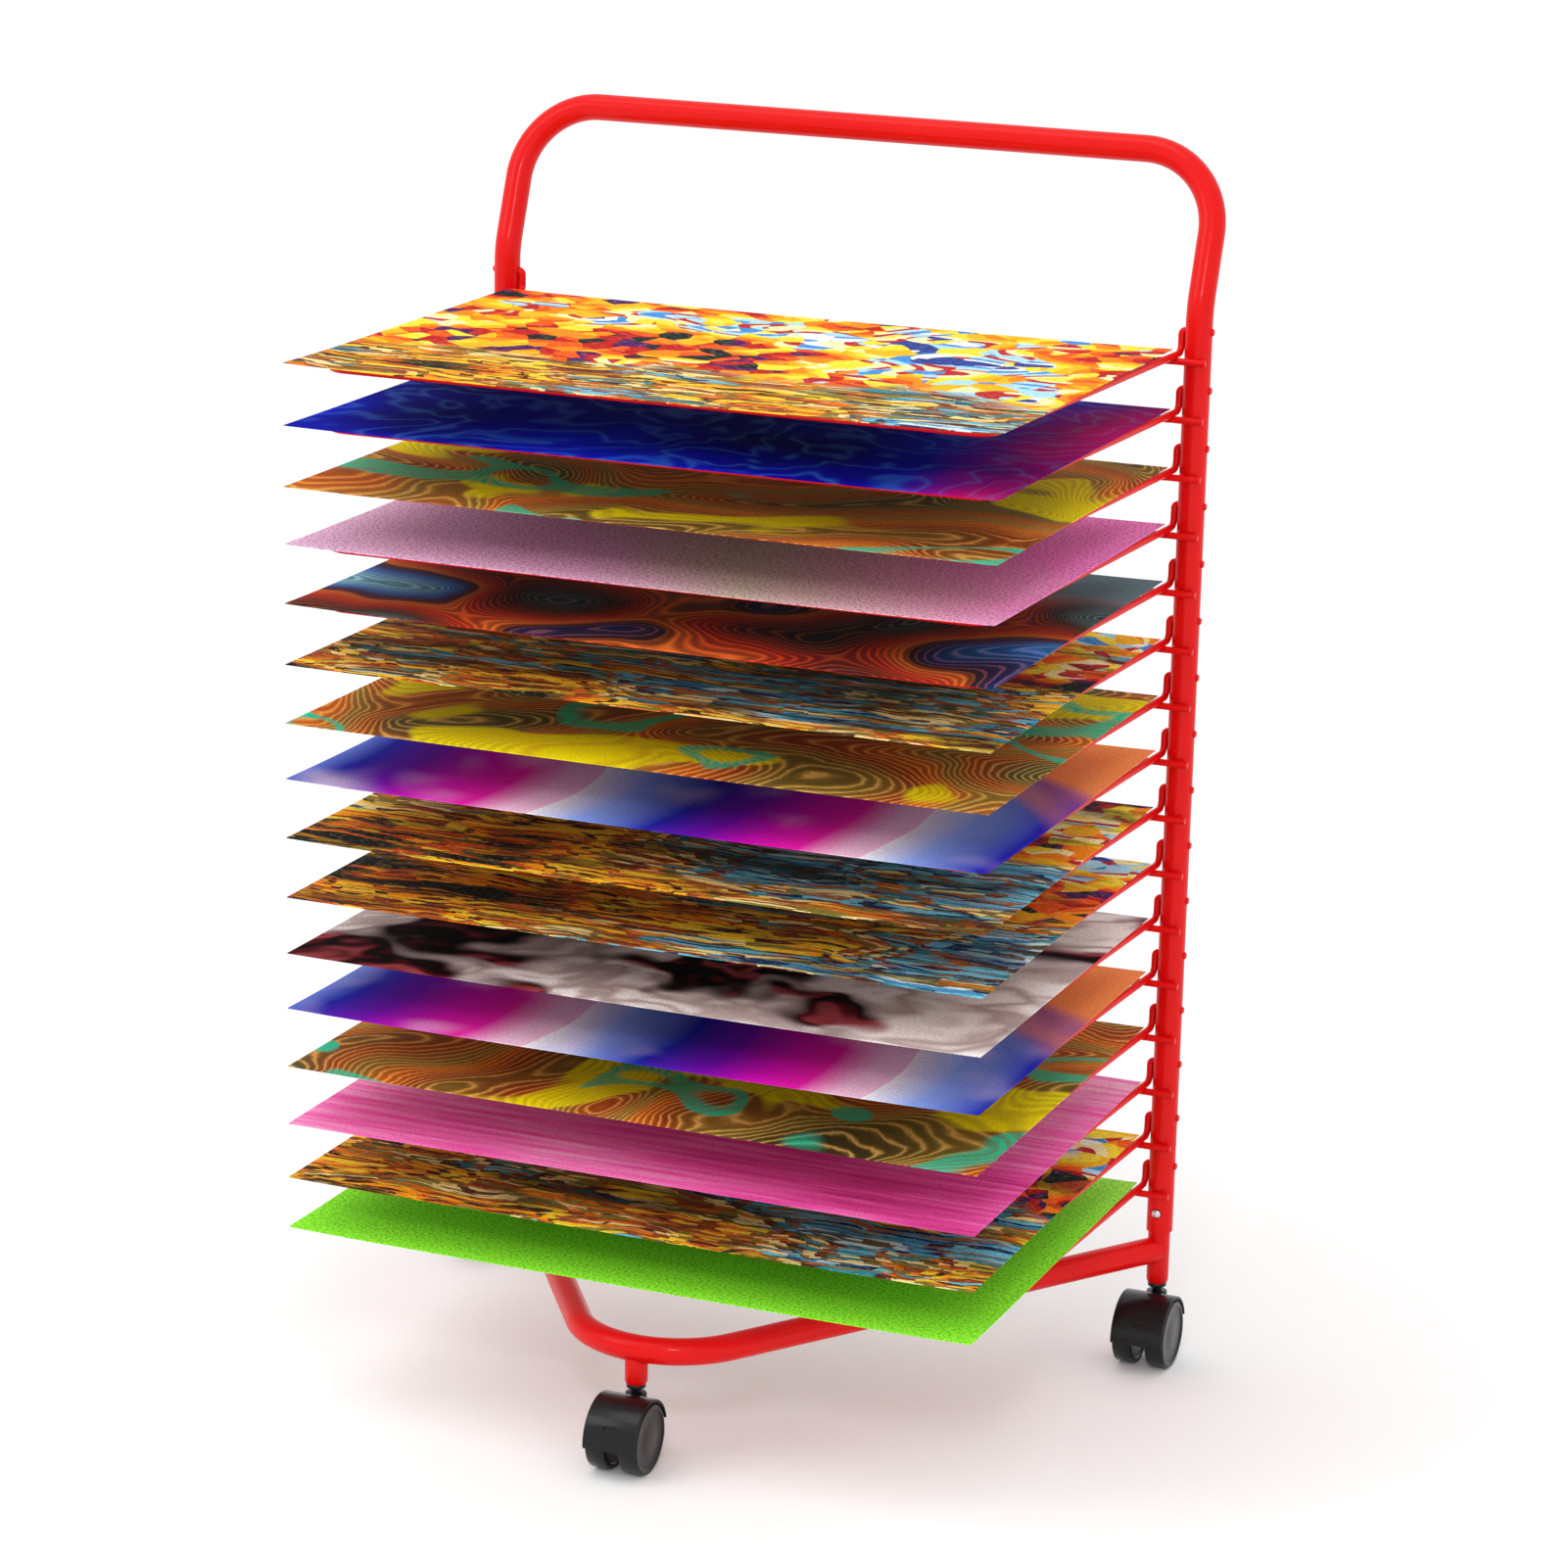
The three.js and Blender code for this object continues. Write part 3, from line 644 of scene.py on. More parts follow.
HOOD_PLASTIC = black_plastic("hood_plastic", 0.24, 0.35)
WHEEL_PLASTIC = black_plastic("wheel_plastic", 0.28, 0.4)


def hood_cover(centre):
    """Curved cover over the wheels: a rounded flat strip as profile, carried along an arc about the
    axle from below the front, over the top, to the rear."""
    angle = np.linspace(HOOD_FRONT, HOOD_REAR, 72)
    out = np.stack([np.zeros_like(angle), -np.cos(angle), np.sin(angle)], 1)
    radial, across = strip_profile((HOOD_OUTER - HOOD_INNER) / 2, HOOD_HALF, 32).T
    rings = out[:, None] * (radial + (HOOD_INNER + HOOD_OUTER) / 2)[None, :, None]
    rings[:, :, 0] = across[None]
    return capped(rings + centre)


def hood_web(centre):
    """Plate between the wheels: the cover's outline closed under the axle, with rounded edges. The
    outline is drawn in towards its middle over the last part of the thickness on each side."""
    angle = np.linspace(WEB_FRONT, HOOD_REAR, 60)
    rim = 0.5 * (HOOD_INNER + HOOD_OUTER) * np.stack([-np.cos(angle), np.sin(angle)], 1)
    under = np.linspace(-0.15 * np.pi, -0.85 * np.pi, 16)
    belly = WEB_BELLY * np.stack([np.cos(under), np.sin(under)], 1)
    outline = np.concatenate([rim, belly])
    across = HOOD_WEB / 2 * np.array([-1, -1, -0.93, 0.93, 1, 1])
    shrink = np.array([0.0, 0.97, 1.0, 1.0, 0.97, 0.0])
    rings = np.empty((len(across), len(outline), 3))
    rings[:, :, 0] = across[:, None]
    rings[:, :, 1:] = outline[None] * shrink[:, None, None]
    return rings.reshape(-1, 3) + centre, ring_quads(len(across), len(outline)).tolist()


def slot_block(centre):
    """Rounded block that cuts the moulded slot in the front of the hood."""
    rise, across = strip_profile(SLOT_HALF_HEIGHT, SLOT_HALF_WIDTH, 32).T
    depth = np.array([-HOOD_OUTER - SLOT_DEPTH, -HOOD_OUTER + SLOT_DEPTH])
    rings = np.stack(np.broadcast_arrays(across[None], depth[:, None], rise[None]), 2)
    y = rings[..., 1] * math.cos(SLOT_ANGLE) + rings[..., 2] * math.sin(SLOT_ANGLE)
    z = rings[..., 2] * math.cos(SLOT_ANGLE) - rings[..., 1] * math.sin(SLOT_ANGLE)
    return capped(np.stack([rings[..., 0], y, z], 2) + centre)


# Each profile below is a row of radius and height, and its small steps ease the edges.
wheel_profile = [
    (0, WHEEL_BORE),
    (AXLE_RADIUS + FIT_GAP, WHEEL_BORE),
    (AXLE_RADIUS + FIT_GAP, 0),
    (WHEEL_HUB, 0),
    (WHEEL_HUB + 0.0007, 0.0010),
    (WHEEL_WELL, 0.0010),
    (WHEEL_WELL + 0.0008, 0),
    (AXLE_HEIGHT - 0.0012, 0),
    (AXLE_HEIGHT - 0.0004, 0.0004),
    (AXLE_HEIGHT, 0.0013),
    (AXLE_HEIGHT, WHEEL_WIDTH - 0.0013),
    (AXLE_HEIGHT - 0.0004, WHEEL_WIDTH - 0.0004),
    (AXLE_HEIGHT - 0.0012, WHEEL_WIDTH),
    (WHEEL_DISH, WHEEL_WIDTH),
    (WHEEL_DISH - 0.0005, WHEEL_WIDTH - 0.0003),
    (WHEEL_DISH - 0.0011, WHEEL_WIDTH - 0.0009),
    (WHEEL_DISH - 0.0017, WHEEL_WIDTH - 0.0011),
    (WHEEL_CAP, WHEEL_WIDTH - 0.0009),
    (WHEEL_CAP - 0.0005, WHEEL_WIDTH - 0.0008),
    (0, WHEEL_WIDTH - 0.0008),
]
seat = LEG_FOOT - FIT_GAP
sleeve = LEG_BORE - FIT_GAP
bore = STEM_RADIUS + FIT_GAP
socket_profile = [
    (bore, seat - COLLAR_DEPTH),
    (SOCKET_COLLAR - 0.0006, seat - COLLAR_DEPTH),
    (SOCKET_COLLAR, seat - COLLAR_DEPTH + 0.0005),
    (SOCKET_COLLAR, seat - 0.0003),
    (SOCKET_COLLAR - 0.0002, seat),
    (sleeve, seat),
    (sleeve, seat + SOCKET_DEPTH - 0.0005),
    (sleeve - 0.0005, seat + SOCKET_DEPTH),
    (bore, seat + SOCKET_DEPTH),
    (bore, seat - COLLAR_DEPTH),
]
stem_top = LEG_FOOT + STEM_RISE
stem_profile = [
    (0, BOSS_TOP - STEM_SINK),
    (STEM_RADIUS, BOSS_TOP - STEM_SINK),
    (STEM_RADIUS, stem_top - 0.0022),
    (STEM_RADIUS - 0.0006, stem_top - 0.0008),
    (STEM_RADIUS - 0.0020, stem_top),
    (0, stem_top),
]
boss_profile = [
    (0, BOSS_TOP - BOSS_DEPTH),
    (BOSS_RADIUS - 0.0005, BOSS_TOP - BOSS_DEPTH),
    (BOSS_RADIUS, BOSS_TOP - BOSS_DEPTH + 0.0005),
    (BOSS_RADIUS, BOSS_TOP - 0.0010),
    (BOSS_RADIUS - 0.0003, BOSS_TOP - 0.0003),
    (BOSS_RADIUS - 0.0009, BOSS_TOP),
    (0, BOSS_TOP),
]
for place, x, y in (
    ("front", 0.0, front_y),
    ("rear_left", -POST_X, post_y),
    ("rear_right", POST_X, post_y),
):
    body = f"caster_{place}"
    axle = np.array([x, y - TRAIL, AXLE_HEIGHT])
    socket_shell = turned(socket_profile, 48, (x, y, 0))
    socket = new_piece(f"black_socket_{place}", [socket_shell], HOOD_PLASTIC)
    fit(socket, f"caster_socket_{place}", "frame")
    stem_shell = turned(stem_profile, 40, (x, y, 0))
    stem = new_piece(f"black_stem_{place}", [stem_shell], HOOD_PLASTIC)
    fit(stem, f"caster_stem_{place}", body)
    hood = new_piece(f"black_hood_{place}", [hood_cover(axle)], HOOD_PLASTIC)
    cut_away(hood, [slot_block(axle)])
    web = new_piece(f"black_web_{place}", [hood_web(axle)], HOOD_PLASTIC)
    boss_shell = turned(boss_profile, 48, (x, y, 0))
    boss = new_piece(f"black_boss_{place}", [boss_shell], HOOD_PLASTIC)
    wells = []
    for side in (-1, 1):
        well = np.array([axle + (side * HOOD_WEB / 2, 0, 0), axle + (side * CUTTER_REACH, 0, 0)])
        wells.append(solid_bar(well, WHEEL_RADIUS + WHEEL_CLEAR, 64))
    cut_away(boss, wells)
    hole_foot = BOSS_TOP - STEM_SINK - FIT_GAP
    hole_line = np.array([(x, y, hole_foot), (x, y, hole_foot + CUTTER_REACH)])
    stem_hole = solid_bar(hole_line, bore, 40)
    cut_away(boss, [stem_hole])
    axle_line = np.array([axle - (CUTTER_REACH, 0, 0), axle + (CUTTER_REACH, 0, 0)])
    cut_away(web, [solid_bar(axle_line, AXLE_RADIUS + FIT_GAP, 32), stem_hole])
    for part in (hood, web, boss):
        fit(part, f"caster_hood_{place}", body)
    rod = frame["nodes"][f"caster_axle_{place}"]
    rod.data.materials.clear()
    rod.data.materials.append(BRIGHT_STEEL)
    for letter, side in (("a", -1), ("b", 1)):
        points, faces = turned(wheel_profile, 112, along="x")
        points = points * (side, 1, 1) + axle + (side * WHEEL_INNER, 0, 0)
        name = f"wheel_{place}_{letter}"
        wheel = new_piece(f"black_{name}", [(points, faces)], WHEEL_PLASTIC, sharp=50)
        fit(wheel, name, name)


# Shelves: each is one grille of bent steel wire, welded and powder coated with the frame. The rim's
# ends turn up beside the posts and out through them. The stop wire runs inside the rim, one wire
# lower, and its ends cross in front of the posts. Ribs and a rear tie carry the paper.
PIVOT_RISE = 0.0159
CAD_WIRE_SIDES = 6
WIRE_FLAT = WIRE_RADIUS * math.cos(math.pi / CAD_WIRE_SIDES)
WELD_SINK = 0.0003
STOP_DROP = PIVOT_RISE + 2 * WIRE_FLAT - WELD_SINK
PIVOT_BEND = WIRE_RADIUS + FIT_GAP
SIDE_X = POST_X - POST_RADIUS - PIVOT_BEND
SIDE_BEND = 0.006
SHELF_DEPTH = 0.338
SHELF_TAPER = 0.016
STOP_Y = -(POST_RADIUS + FIT_GAP + WIRE_RADIUS)
STOP_INSET = 0.0245
STOP_BEND = 0.026
PIN_PROUD = 0.0015
CORNER_BEND = 0.014
FRONT_BAR = -0.318
REAR_TIE = -0.046
RIB_COUNT = 3
WIRE_EASE = 0.0009
EASE_RINGS = 4


def wire(line):
    """Round wire along a line. At each end the radius falls off over a short length, as a quarter
    circle, so that the cut end is rounded over."""
    arc = np.linspace(0, np.pi / 2, EASE_RINGS)
    inset = WIRE_EASE * (1 - np.cos(arc))[:, None]
    start = line[1] - line[0]
    end = line[-1] - line[-2]
    head = line[0] + inset * start / np.linalg.norm(start)
    tail = line[-1] - inset[::-1] * end / np.linalg.norm(end)
    eased = np.concatenate([head, line[1:-1], tail])
    size = np.ones(len(eased))
    size[:EASE_RINGS] -= WIRE_EASE / WIRE_RADIUS * (1 - np.sin(arc))
    size[-EASE_RINGS:] = size[EASE_RINGS - 1 :: -1]
    rings = carried(eased, round_profile(WIRE_RADIUS, 14))
    return capped(eased[:, None] + (rings - eased[:, None]) * size[:, None, None])


def run_x(y):
    """Distance of a stop wire from the middle, drawn in towards the front as the rim is."""
    return SIDE_X - STOP_INSET + SHELF_TAPER / SHELF_DEPTH * y


def shelf_wires(z):
    """All the wires of one shelf, each a round bar along its bent line."""
    base = np.array([0, post_y, z])
    end_x = POST_X + POST_RADIUS
    pin_x = end_x + PIN_PROUD
    front_x = SIDE_X - SHELF_TAPER
    rim = rounded_line(
        [
            (pin_x, 0, 0),
            (SIDE_X, 0, 0),
            (SIDE_X, 0, -PIVOT_RISE),
            (front_x, -SHELF_DEPTH, -PIVOT_RISE),
            (-front_x, -SHELF_DEPTH, -PIVOT_RISE),
            (-SIDE_X, 0, -PIVOT_RISE),
            (-SIDE_X, 0, 0),
            (-pin_x, 0, 0),
        ],
        [PIVOT_BEND, SIDE_BEND, CORNER_BEND, CORNER_BEND, SIDE_BEND, PIVOT_BEND],
        8,
    )
    stop = rounded_line(
        [
            (end_x, STOP_Y, -STOP_DROP),
            (run_x(STOP_Y), STOP_Y, -STOP_DROP),
            (run_x(FRONT_BAR), FRONT_BAR, -STOP_DROP),
            (-run_x(FRONT_BAR), FRONT_BAR, -STOP_DROP),
            (-run_x(STOP_Y), STOP_Y, -STOP_DROP),
            (-end_x, STOP_Y, -STOP_DROP),
        ],
        [STOP_BEND, CORNER_BEND, CORNER_BEND, STOP_BEND],
        12,
    )
    tie_x = run_x(REAR_TIE)
    tie = np.array([(-tie_x, REAR_TIE, -STOP_DROP), (tie_x, REAR_TIE, -STOP_DROP)])
    lines = [rim, stop, tie]
    pitch = 2 * run_x(-SHELF_DEPTH) / (RIB_COUNT + 1)
    for i in range(RIB_COUNT):
        x = pitch * (i - (RIB_COUNT - 1) / 2)
        rear = REAR_TIE + 2 * WIRE_RADIUS
        lines.append(np.array([(x, rear, -PIVOT_RISE), (x, -SHELF_DEPTH, -PIVOT_RISE)]))
    return [wire(line + base) for line in lines]


for body, height in pivot_heights.items():
    number = body[-2:]
    shelf = new_piece(f"wire_shelf_{number}", shelf_wires(height), RED)
    fit(shelf, f"shelf_{number}", body)


# Sheets: drawing paper, painted on top and bare below, one lying loose on each shelf. Each is a
# thin slab with a slight wave and curl, and the designs are plain abstract washes and strokes.
SHEET_WIDTH = 0.508
SHEET_DEPTH = 0.346
SHEET_THICK = 0.0005
SHEET_SHIFT = -0.003
SHEET_GAP = 0.0045
SHEET_CLEAR = 0.00015
SHEET_REAR = -(POST_RADIUS + SHEET_GAP)
SHEET_RISE = -PIVOT_RISE + WIRE_RADIUS + SHEET_CLEAR
SHEET_COLUMNS = 73
SHEET_ROWS = 49
WAVE_HEIGHT = 0.00022
CURL_HEIGHT = 0.0007
CURL_CHANGE = 0.0005
SEED_STEP = (0.73, 0.41)


def bare_paper():
    """Off-white drawing paper with a fine tooth and a faint mottled tone."""
    material, tree, shader = new_finish("bare_paper", Metallic=0.0)
    place = own_place(tree)
    tooth = place.noise(1300.0, 3.0)
    tone = place.noise(14.0, 4.0)
    feed(
        shader,
        Base_Color=tone.mix((0.80, 0.78, 0.72), (0.90, 0.88, 0.83)),
        Roughness=0.82 + tone * 0.1,
        Normal=tooth.bump(0.2, 0.0003),
    )
    return material


PAPER = bare_paper()


def painted(name, design, seed, **tones):
    """A painted side: the design gives a colour and a relief from the sheet's own place. Fine dark
    specks of painted shade lie over it, and the paper's tooth and the strokes show in the surface."""
    material, tree, shader = new_finish(name, Metallic=0.0, Specular_IOR_Level=0.02)
    sheet_place = tree.node("ShaderNodeUVMap", {"uv_map": "sheet_place"}, {})
    across, along, _ = sheet_place.parts()
    place = sheet_place.stretch(SHEET_WIDTH, SHEET_DEPTH)
    place = place.shift(seed * SEED_STEP[0], seed * SEED_STEP[1])
    colour, relief = design(place, across, along, **tones)
    tooth = place.noise(1100.0, 3.0)
    # Painted shade: fine dark specks that copy grainy shading noise, spread over the whole painted
    # side.
    painted_shade_speckle = place.noise(430.0, 2.0, 0.8).step(0.50, 0.60)
    feed(
        shader,
        Base_Color=(painted_shade_speckle * 0.22).mix(colour, (0.01, 0.01, 0.012)),
        Roughness=0.75 - relief * 0.15,
        Normal=(relief + tooth * 0.3).bump(0.3, 0.0006),
    )
    return material


def leaf_strokes(place, across, along, dusk=0.0):
    """Palette-knife work in leaf colours: round dabs behind and long flat strokes in front, each of
    one paint. The paints drift from dark greens through fire colours to cool blues."""
    bent = place.pushed(14.0, 0.03)
    dabs = bent.cells(46.0, 52.0)
    strokes = bent.cells(5.0, 75.0)
    fine = bent.cells(15.0, 250.0)
    drift = (place.stretch(1.0, 1.6).noise(5.0, 2.0) - 0.5) * 2.4
    behind = (along - dusk * 0.18 + (place.noise(8.0, 2.0) - 0.5) * 0.4).step(0.30, 0.36)
    leaves = (0.42 + drift * 0.9 + (dabs - 0.5) * 0.55 + (across - 0.5) * 0.25 - dusk * 0.12).ramp(
        [
            (0.0, (0.008, 0.02, 0.02)), (0.07, (0.08, 0.01, 0.12)), (0.14, (0.55, 0.01, 0.01)),
            (0.24, (0.95, 0.11, 0.004)), (0.33, (1.0, 0.28, 0.004)), (0.42, (1.0, 0.52, 0.008)),
            (0.51, (1.0, 0.8, 0.04)), (0.6, (1.0, 0.92, 0.48)), (0.67, (0.55, 0.02, 0.03)),
            (0.73, (0.45, 0.78, 0.94)), (0.82, (0.06, 0.3, 0.76)), (0.9, (0.95, 0.95, 0.92)),
            (0.97, (0.03, 0.06, 0.32)),
        ],
        "CONSTANT",
    )
    flats = (strokes - 0.5) * 0.42 + (fine - 0.5) * 0.20
    ground = (0.30 + drift * 0.6 + flats + across * 0.42).ramp(
        [
            (0.0, (0.01, 0.012, 0.008)), (0.07, (0.12, 0.07, 0.01)), (0.13, (0.62, 0.08, 0.006)),
            (0.19, (1.0, 0.36, 0.006)), (0.26, (0.05, 0.018, 0.008)), (0.3, (1.0, 0.66, 0.03)),
            (0.37, (0.33, 0.06, 0.012)), (0.43, (0.78, 0.18, 0.01)), (0.48, (0.24, 0.2, 0.03)),
            (0.53, (1.0, 0.78, 0.3)), (0.58, (0.1, 0.03, 0.02)), (0.63, (0.03, 0.26, 0.33)),
            (0.69, (0.42, 0.12, 0.03)), (0.74, (0.16, 0.56, 0.74)), (0.8, (0.01, 0.03, 0.11)),
            (0.85, (0.06, 0.3, 0.56)), (0.91, (0.66, 0.88, 0.92)), (0.96, (0.16, 0.1, 0.05)),
        ],
        "CONSTANT",
    )
    bristle = bent.stretch(1.0, 5.0).noise(150.0, 4.0, 0.7)
    paint = (bristle.step(0.56, 0.70) * 0.55).mix(behind.mix(ground, leaves), (1.0, 0.86, 0.62))
    streaks = place.stretch(1.0, 5.0).noise(6.0, 4.0, 0.6).step(0.50, 0.62)
    shade = dusk * 0.7 * streaks + (1.0 - bristle).step(0.54, 0.66) * 0.5
    return shade.mix(paint, (0.01, 0.012, 0.014)), bristle


def night_wash(place, across, along):
    """Deep blue wash with thin curling wisps along the contours of a noise, turning violet towards
    one end."""
    bent = place.pushed(4.0, 0.24, 2.0)
    wisps = (bent.noise(6.0, 3.0) * 75.0).wave() ** 7.0
    glow = place.noise(5.0, 3.0)
    deep = glow.wider(2.0).ramp(
        [(0.1, (0.001, 0.001, 0.07)), (0.45, (0.002, 0.002, 0.33)), (0.85, (0.004, 0.02, 0.64))]
    )
    violet = glow.wider(2.0).ramp([(0.2, (0.12, 0.001, 0.1)), (0.8, (0.48, 0.002, 0.15))])
    end = (across + glow * 0.3).step(0.98, 1.14)
    wash = end.mix(deep, violet)
    return (wisps * (0.4 - end * 0.25)).mix(wash, (0.03, 0.18, 0.68)), wisps


def earth_marbling(place, across, along):
    """Marbled earth paints: a noise picks brown, rust or olive and its contours comb them into fine
    lines. Acid yellow pools and jade edges lie over them."""
    bent = place.pushed(3.4, 0.30, 2.0)
    field = bent.noise(4.5, 1.0)
    lines = (field * 420.0 + bent.noise(60.0, 3.0, 0.7) * 5.0).wave()
    earth = field.wider(2.6).ramp(
        [
            (0.05, (0.05, 0.036, 0.008)), (0.22, (0.33, 0.21, 0.03)), (0.36, (0.46, 0.06, 0.008)),
            (0.5, (0.9, 0.19, 0.008)), (0.62, (0.4, 0.25, 0.04)), (0.78, (0.62, 0.11, 0.012)),
            (0.95, (0.14, 0.13, 0.036)),
        ]
    )
    combed = (lines * 0.5).mix(earth, (0.04, 0.024, 0.01))
    sparked = ((1.0 - lines) ** 6.0 * 0.6).mix(combed, (0.95, 0.54, 0.14))
    pool = bent.shift(3.1, 1.7).noise(5.5, 2.0)
    yellow = (pool.step(0.55, 0.58) * (1.0 - lines * 0.35)).mix(sparked, (0.88, 0.76, 0.004))
    edge = bent.shift(-2.3, 4.4).noise(6.0, 1.0)
    jade = edge.step(0.60, 0.61) * (1.0 - edge.step(0.64, 0.66)) * (1.0 - lines * 0.5)
    return jade.mix(yellow, (0.03, 0.56, 0.33)), lines


def rose_fade(place, across, along):
    """Sprayed fade from rose through grey-mauve and back, thick with dark specks of painted shade.
    """
    haze = place.noise(5.0, 3.0)
    shade_speckle_noise = place.noise(430.0, 2.0, 0.8)
    fade = (across * 0.85 + along * 0.25 + (haze - 0.5) * 0.35 - 0.05).ramp(
        [
            (0.05, (0.88, 0.54, 0.78)), (0.3, (0.78, 0.42, 0.64)), (0.5, (0.62, 0.52, 0.42)),
            (0.68, (0.86, 0.48, 0.62)), (0.92, (0.98, 0.26, 0.66)),
        ]
    )
    # Painted shade: dark specks that copy grainy shading noise, fainter where the haze is high.
    dark = shade_speckle_noise.step(0.49, 0.57) * (0.70 - haze * 0.4)
    return dark.mix(fade, (0.11, 0.07, 0.06)), shade_speckle_noise * 0.4


def ember_bands(place, across, along):
    """Dark ground with ember-red shores round cool blue pools, all combed into fine lines along the
    contours of a slow noise."""
    bent = place.shift(1.3, 0.4).pushed(5.0, 0.10, 2.0)
    field = bent.noise(5.2, 1.0)
    lines = (field * 520.0 + bent.noise(40.0, 3.0, 0.7) * 4.0).wave()
    ground = field.wider(2.8).ramp(
        [
            (0.0, (0.03, 0.13, 0.15)), (0.16, (0.02, 0.022, 0.024)), (0.28, (0.22, 0.014, 0.008)),
            (0.4, (0.64, 0.026, 0.008)), (0.5, (0.82, 0.16, 0.02)), (0.54, (0.05, 0.01, 0.014)),
            (0.62, (0.014, 0.024, 0.15)), (0.74, (0.02, 0.26, 0.76)), (0.9, (0.28, 0.72, 0.88)),
        ]
    )
    combed = (lines * 0.62).mix(ground, (0.016, 0.012, 0.014))
    sparked = ((1.0 - lines) ** 6.0 * 0.22).mix(combed, (0.95, 0.3, 0.08))
    slate = (along * 1.1 + across * 0.45 + field * 0.3).step(1.25, 1.50)
    return slate.mix(sparked, (0.13, 0.2, 0.23)), lines


def ribbon_fade(place, across, along):
    """Wide slanting ribbons that fade from white through blue and violet to hot pink, with pale
    silky folds between them and a warm corner."""
    haze = place.noise(4.0, 2.0)
    bow = (along - 0.5) * (along - 0.5)
    slant = across * 2.1 + along * 0.45 + bow * 0.7 + haze * 0.15
    fade = slant.sum("FRACT", slant).ramp(
        [
            (0.0, (0.93, 0.93, 0.96)), (0.14, (0.26, 0.4, 0.88)), (0.34, (0.012, 0.016, 0.42)),
            (0.5, (0.18, 0.003, 0.46)), (0.66, (0.66, 0.004, 0.48)), (0.8, (0.82, 0.012, 0.42)),
            (0.92, (0.88, 0.56, 0.74)),
        ]
    )
    folds = (slant * 20.0 + along * 14.0 + haze * 9.0).wave()
    silk = (folds * 0.5 * place.noise(6.0, 2.0).step(0.52, 0.66)).mix(fade, (0.92, 0.78, 0.86))
    warm = (across * 0.8 + along * 0.7 + folds * 0.1).step(1.10, 1.34)
    return warm.mix(silk, (0.95, 0.3, 0.09)), place.noise(420.0, 2.0, 0.8) * 0.5


def wine_folds(place, across, along):
    """Pale grey-rose drapery with soft folds, and dark burgundy stains."""
    bent = place.pushed(4.0, 0.22)
    folds = (bent.stretch(13.0, 17.0).noise(1.0, 2.0) * 22.0).wave()
    cloth = (folds * 0.65 + place.noise(6.0, 3.0) * 0.4).ramp(
        [(0.05, (0.34, 0.24, 0.235)), (0.35, (0.64, 0.54, 0.52)), (0.8, (0.9, 0.85, 0.83))]
    )
    stain = bent.noise(4.4, 3.0)
    wine = (folds * 0.8 + place.noise(18.0, 3.0) * 0.3).ramp(
        [(0.2, (0.006, 0.001, 0.002)), (0.6, (0.08, 0.003, 0.007)), (0.95, (0.32, 0.05, 0.06))]
    )
    return stain.step(0.49, 0.54).mix(cloth, wine), folds


def rose_brush(place, across, along):
    """Long dry-brush strokes from pale to deep rose."""
    strokes = place.stretch(3.0, 60.0).noise(2.2, 5.0, 0.65)
    haze = place.noise(4.0, 2.0)
    fade = (strokes * 0.85 + haze * 0.75 + (along - across) * 0.12 - 0.28).ramp(
        [
            (0.22, (0.56, 0.03, 0.21)), (0.4, (0.86, 0.1, 0.42)), (0.56, (0.92, 0.26, 0.56)),
            (0.7, (0.92, 0.56, 0.68)), (0.86, (0.9, 0.8, 0.83)),
        ]
    )
    return fade, strokes


def lime_wash(place, across, along):
    """Flat bright lime with soft dark specks of painted shade, a little paler towards the rear."""
    shade_speckle_noise = place.noise(430.0, 2.0, 0.8)
    cloud = place.noise(4.0, 3.0)
    fade = (along * 0.8 + (cloud - 0.5) * 0.4).ramp(
        [(0.05, (0.3, 0.92, 0.04)), (0.45, (0.28, 0.86, 0.04)), (0.95, (0.44, 0.94, 0.12))]
    )
    # Painted shade: dark green specks that copy grainy shading noise over the lime.
    return (shade_speckle_noise.step(0.5, 0.58) * 0.4).mix(fade, (0.06, 0.27, 0.012)), shade_speckle_noise * 0.4


DESIGNS = [
    (leaf_strokes, {}),
    (night_wash, {}),
    (earth_marbling, {}),
    (rose_fade, {}),
    (ember_bands, {}),
    (leaf_strokes, {"dusk": 1.0}),
    (earth_marbling, {}),
    (ribbon_fade, {}),
    (leaf_strokes, {"dusk": 1.0}),
    (leaf_strokes, {"dusk": 0.9}),
    (wine_folds, {}),
    (ribbon_fade, {}),
    (earth_marbling, {}),
    (rose_brush, {}),
    (leaf_strokes, {"dusk": 0.9}),
    (lime_wash, {}),
]


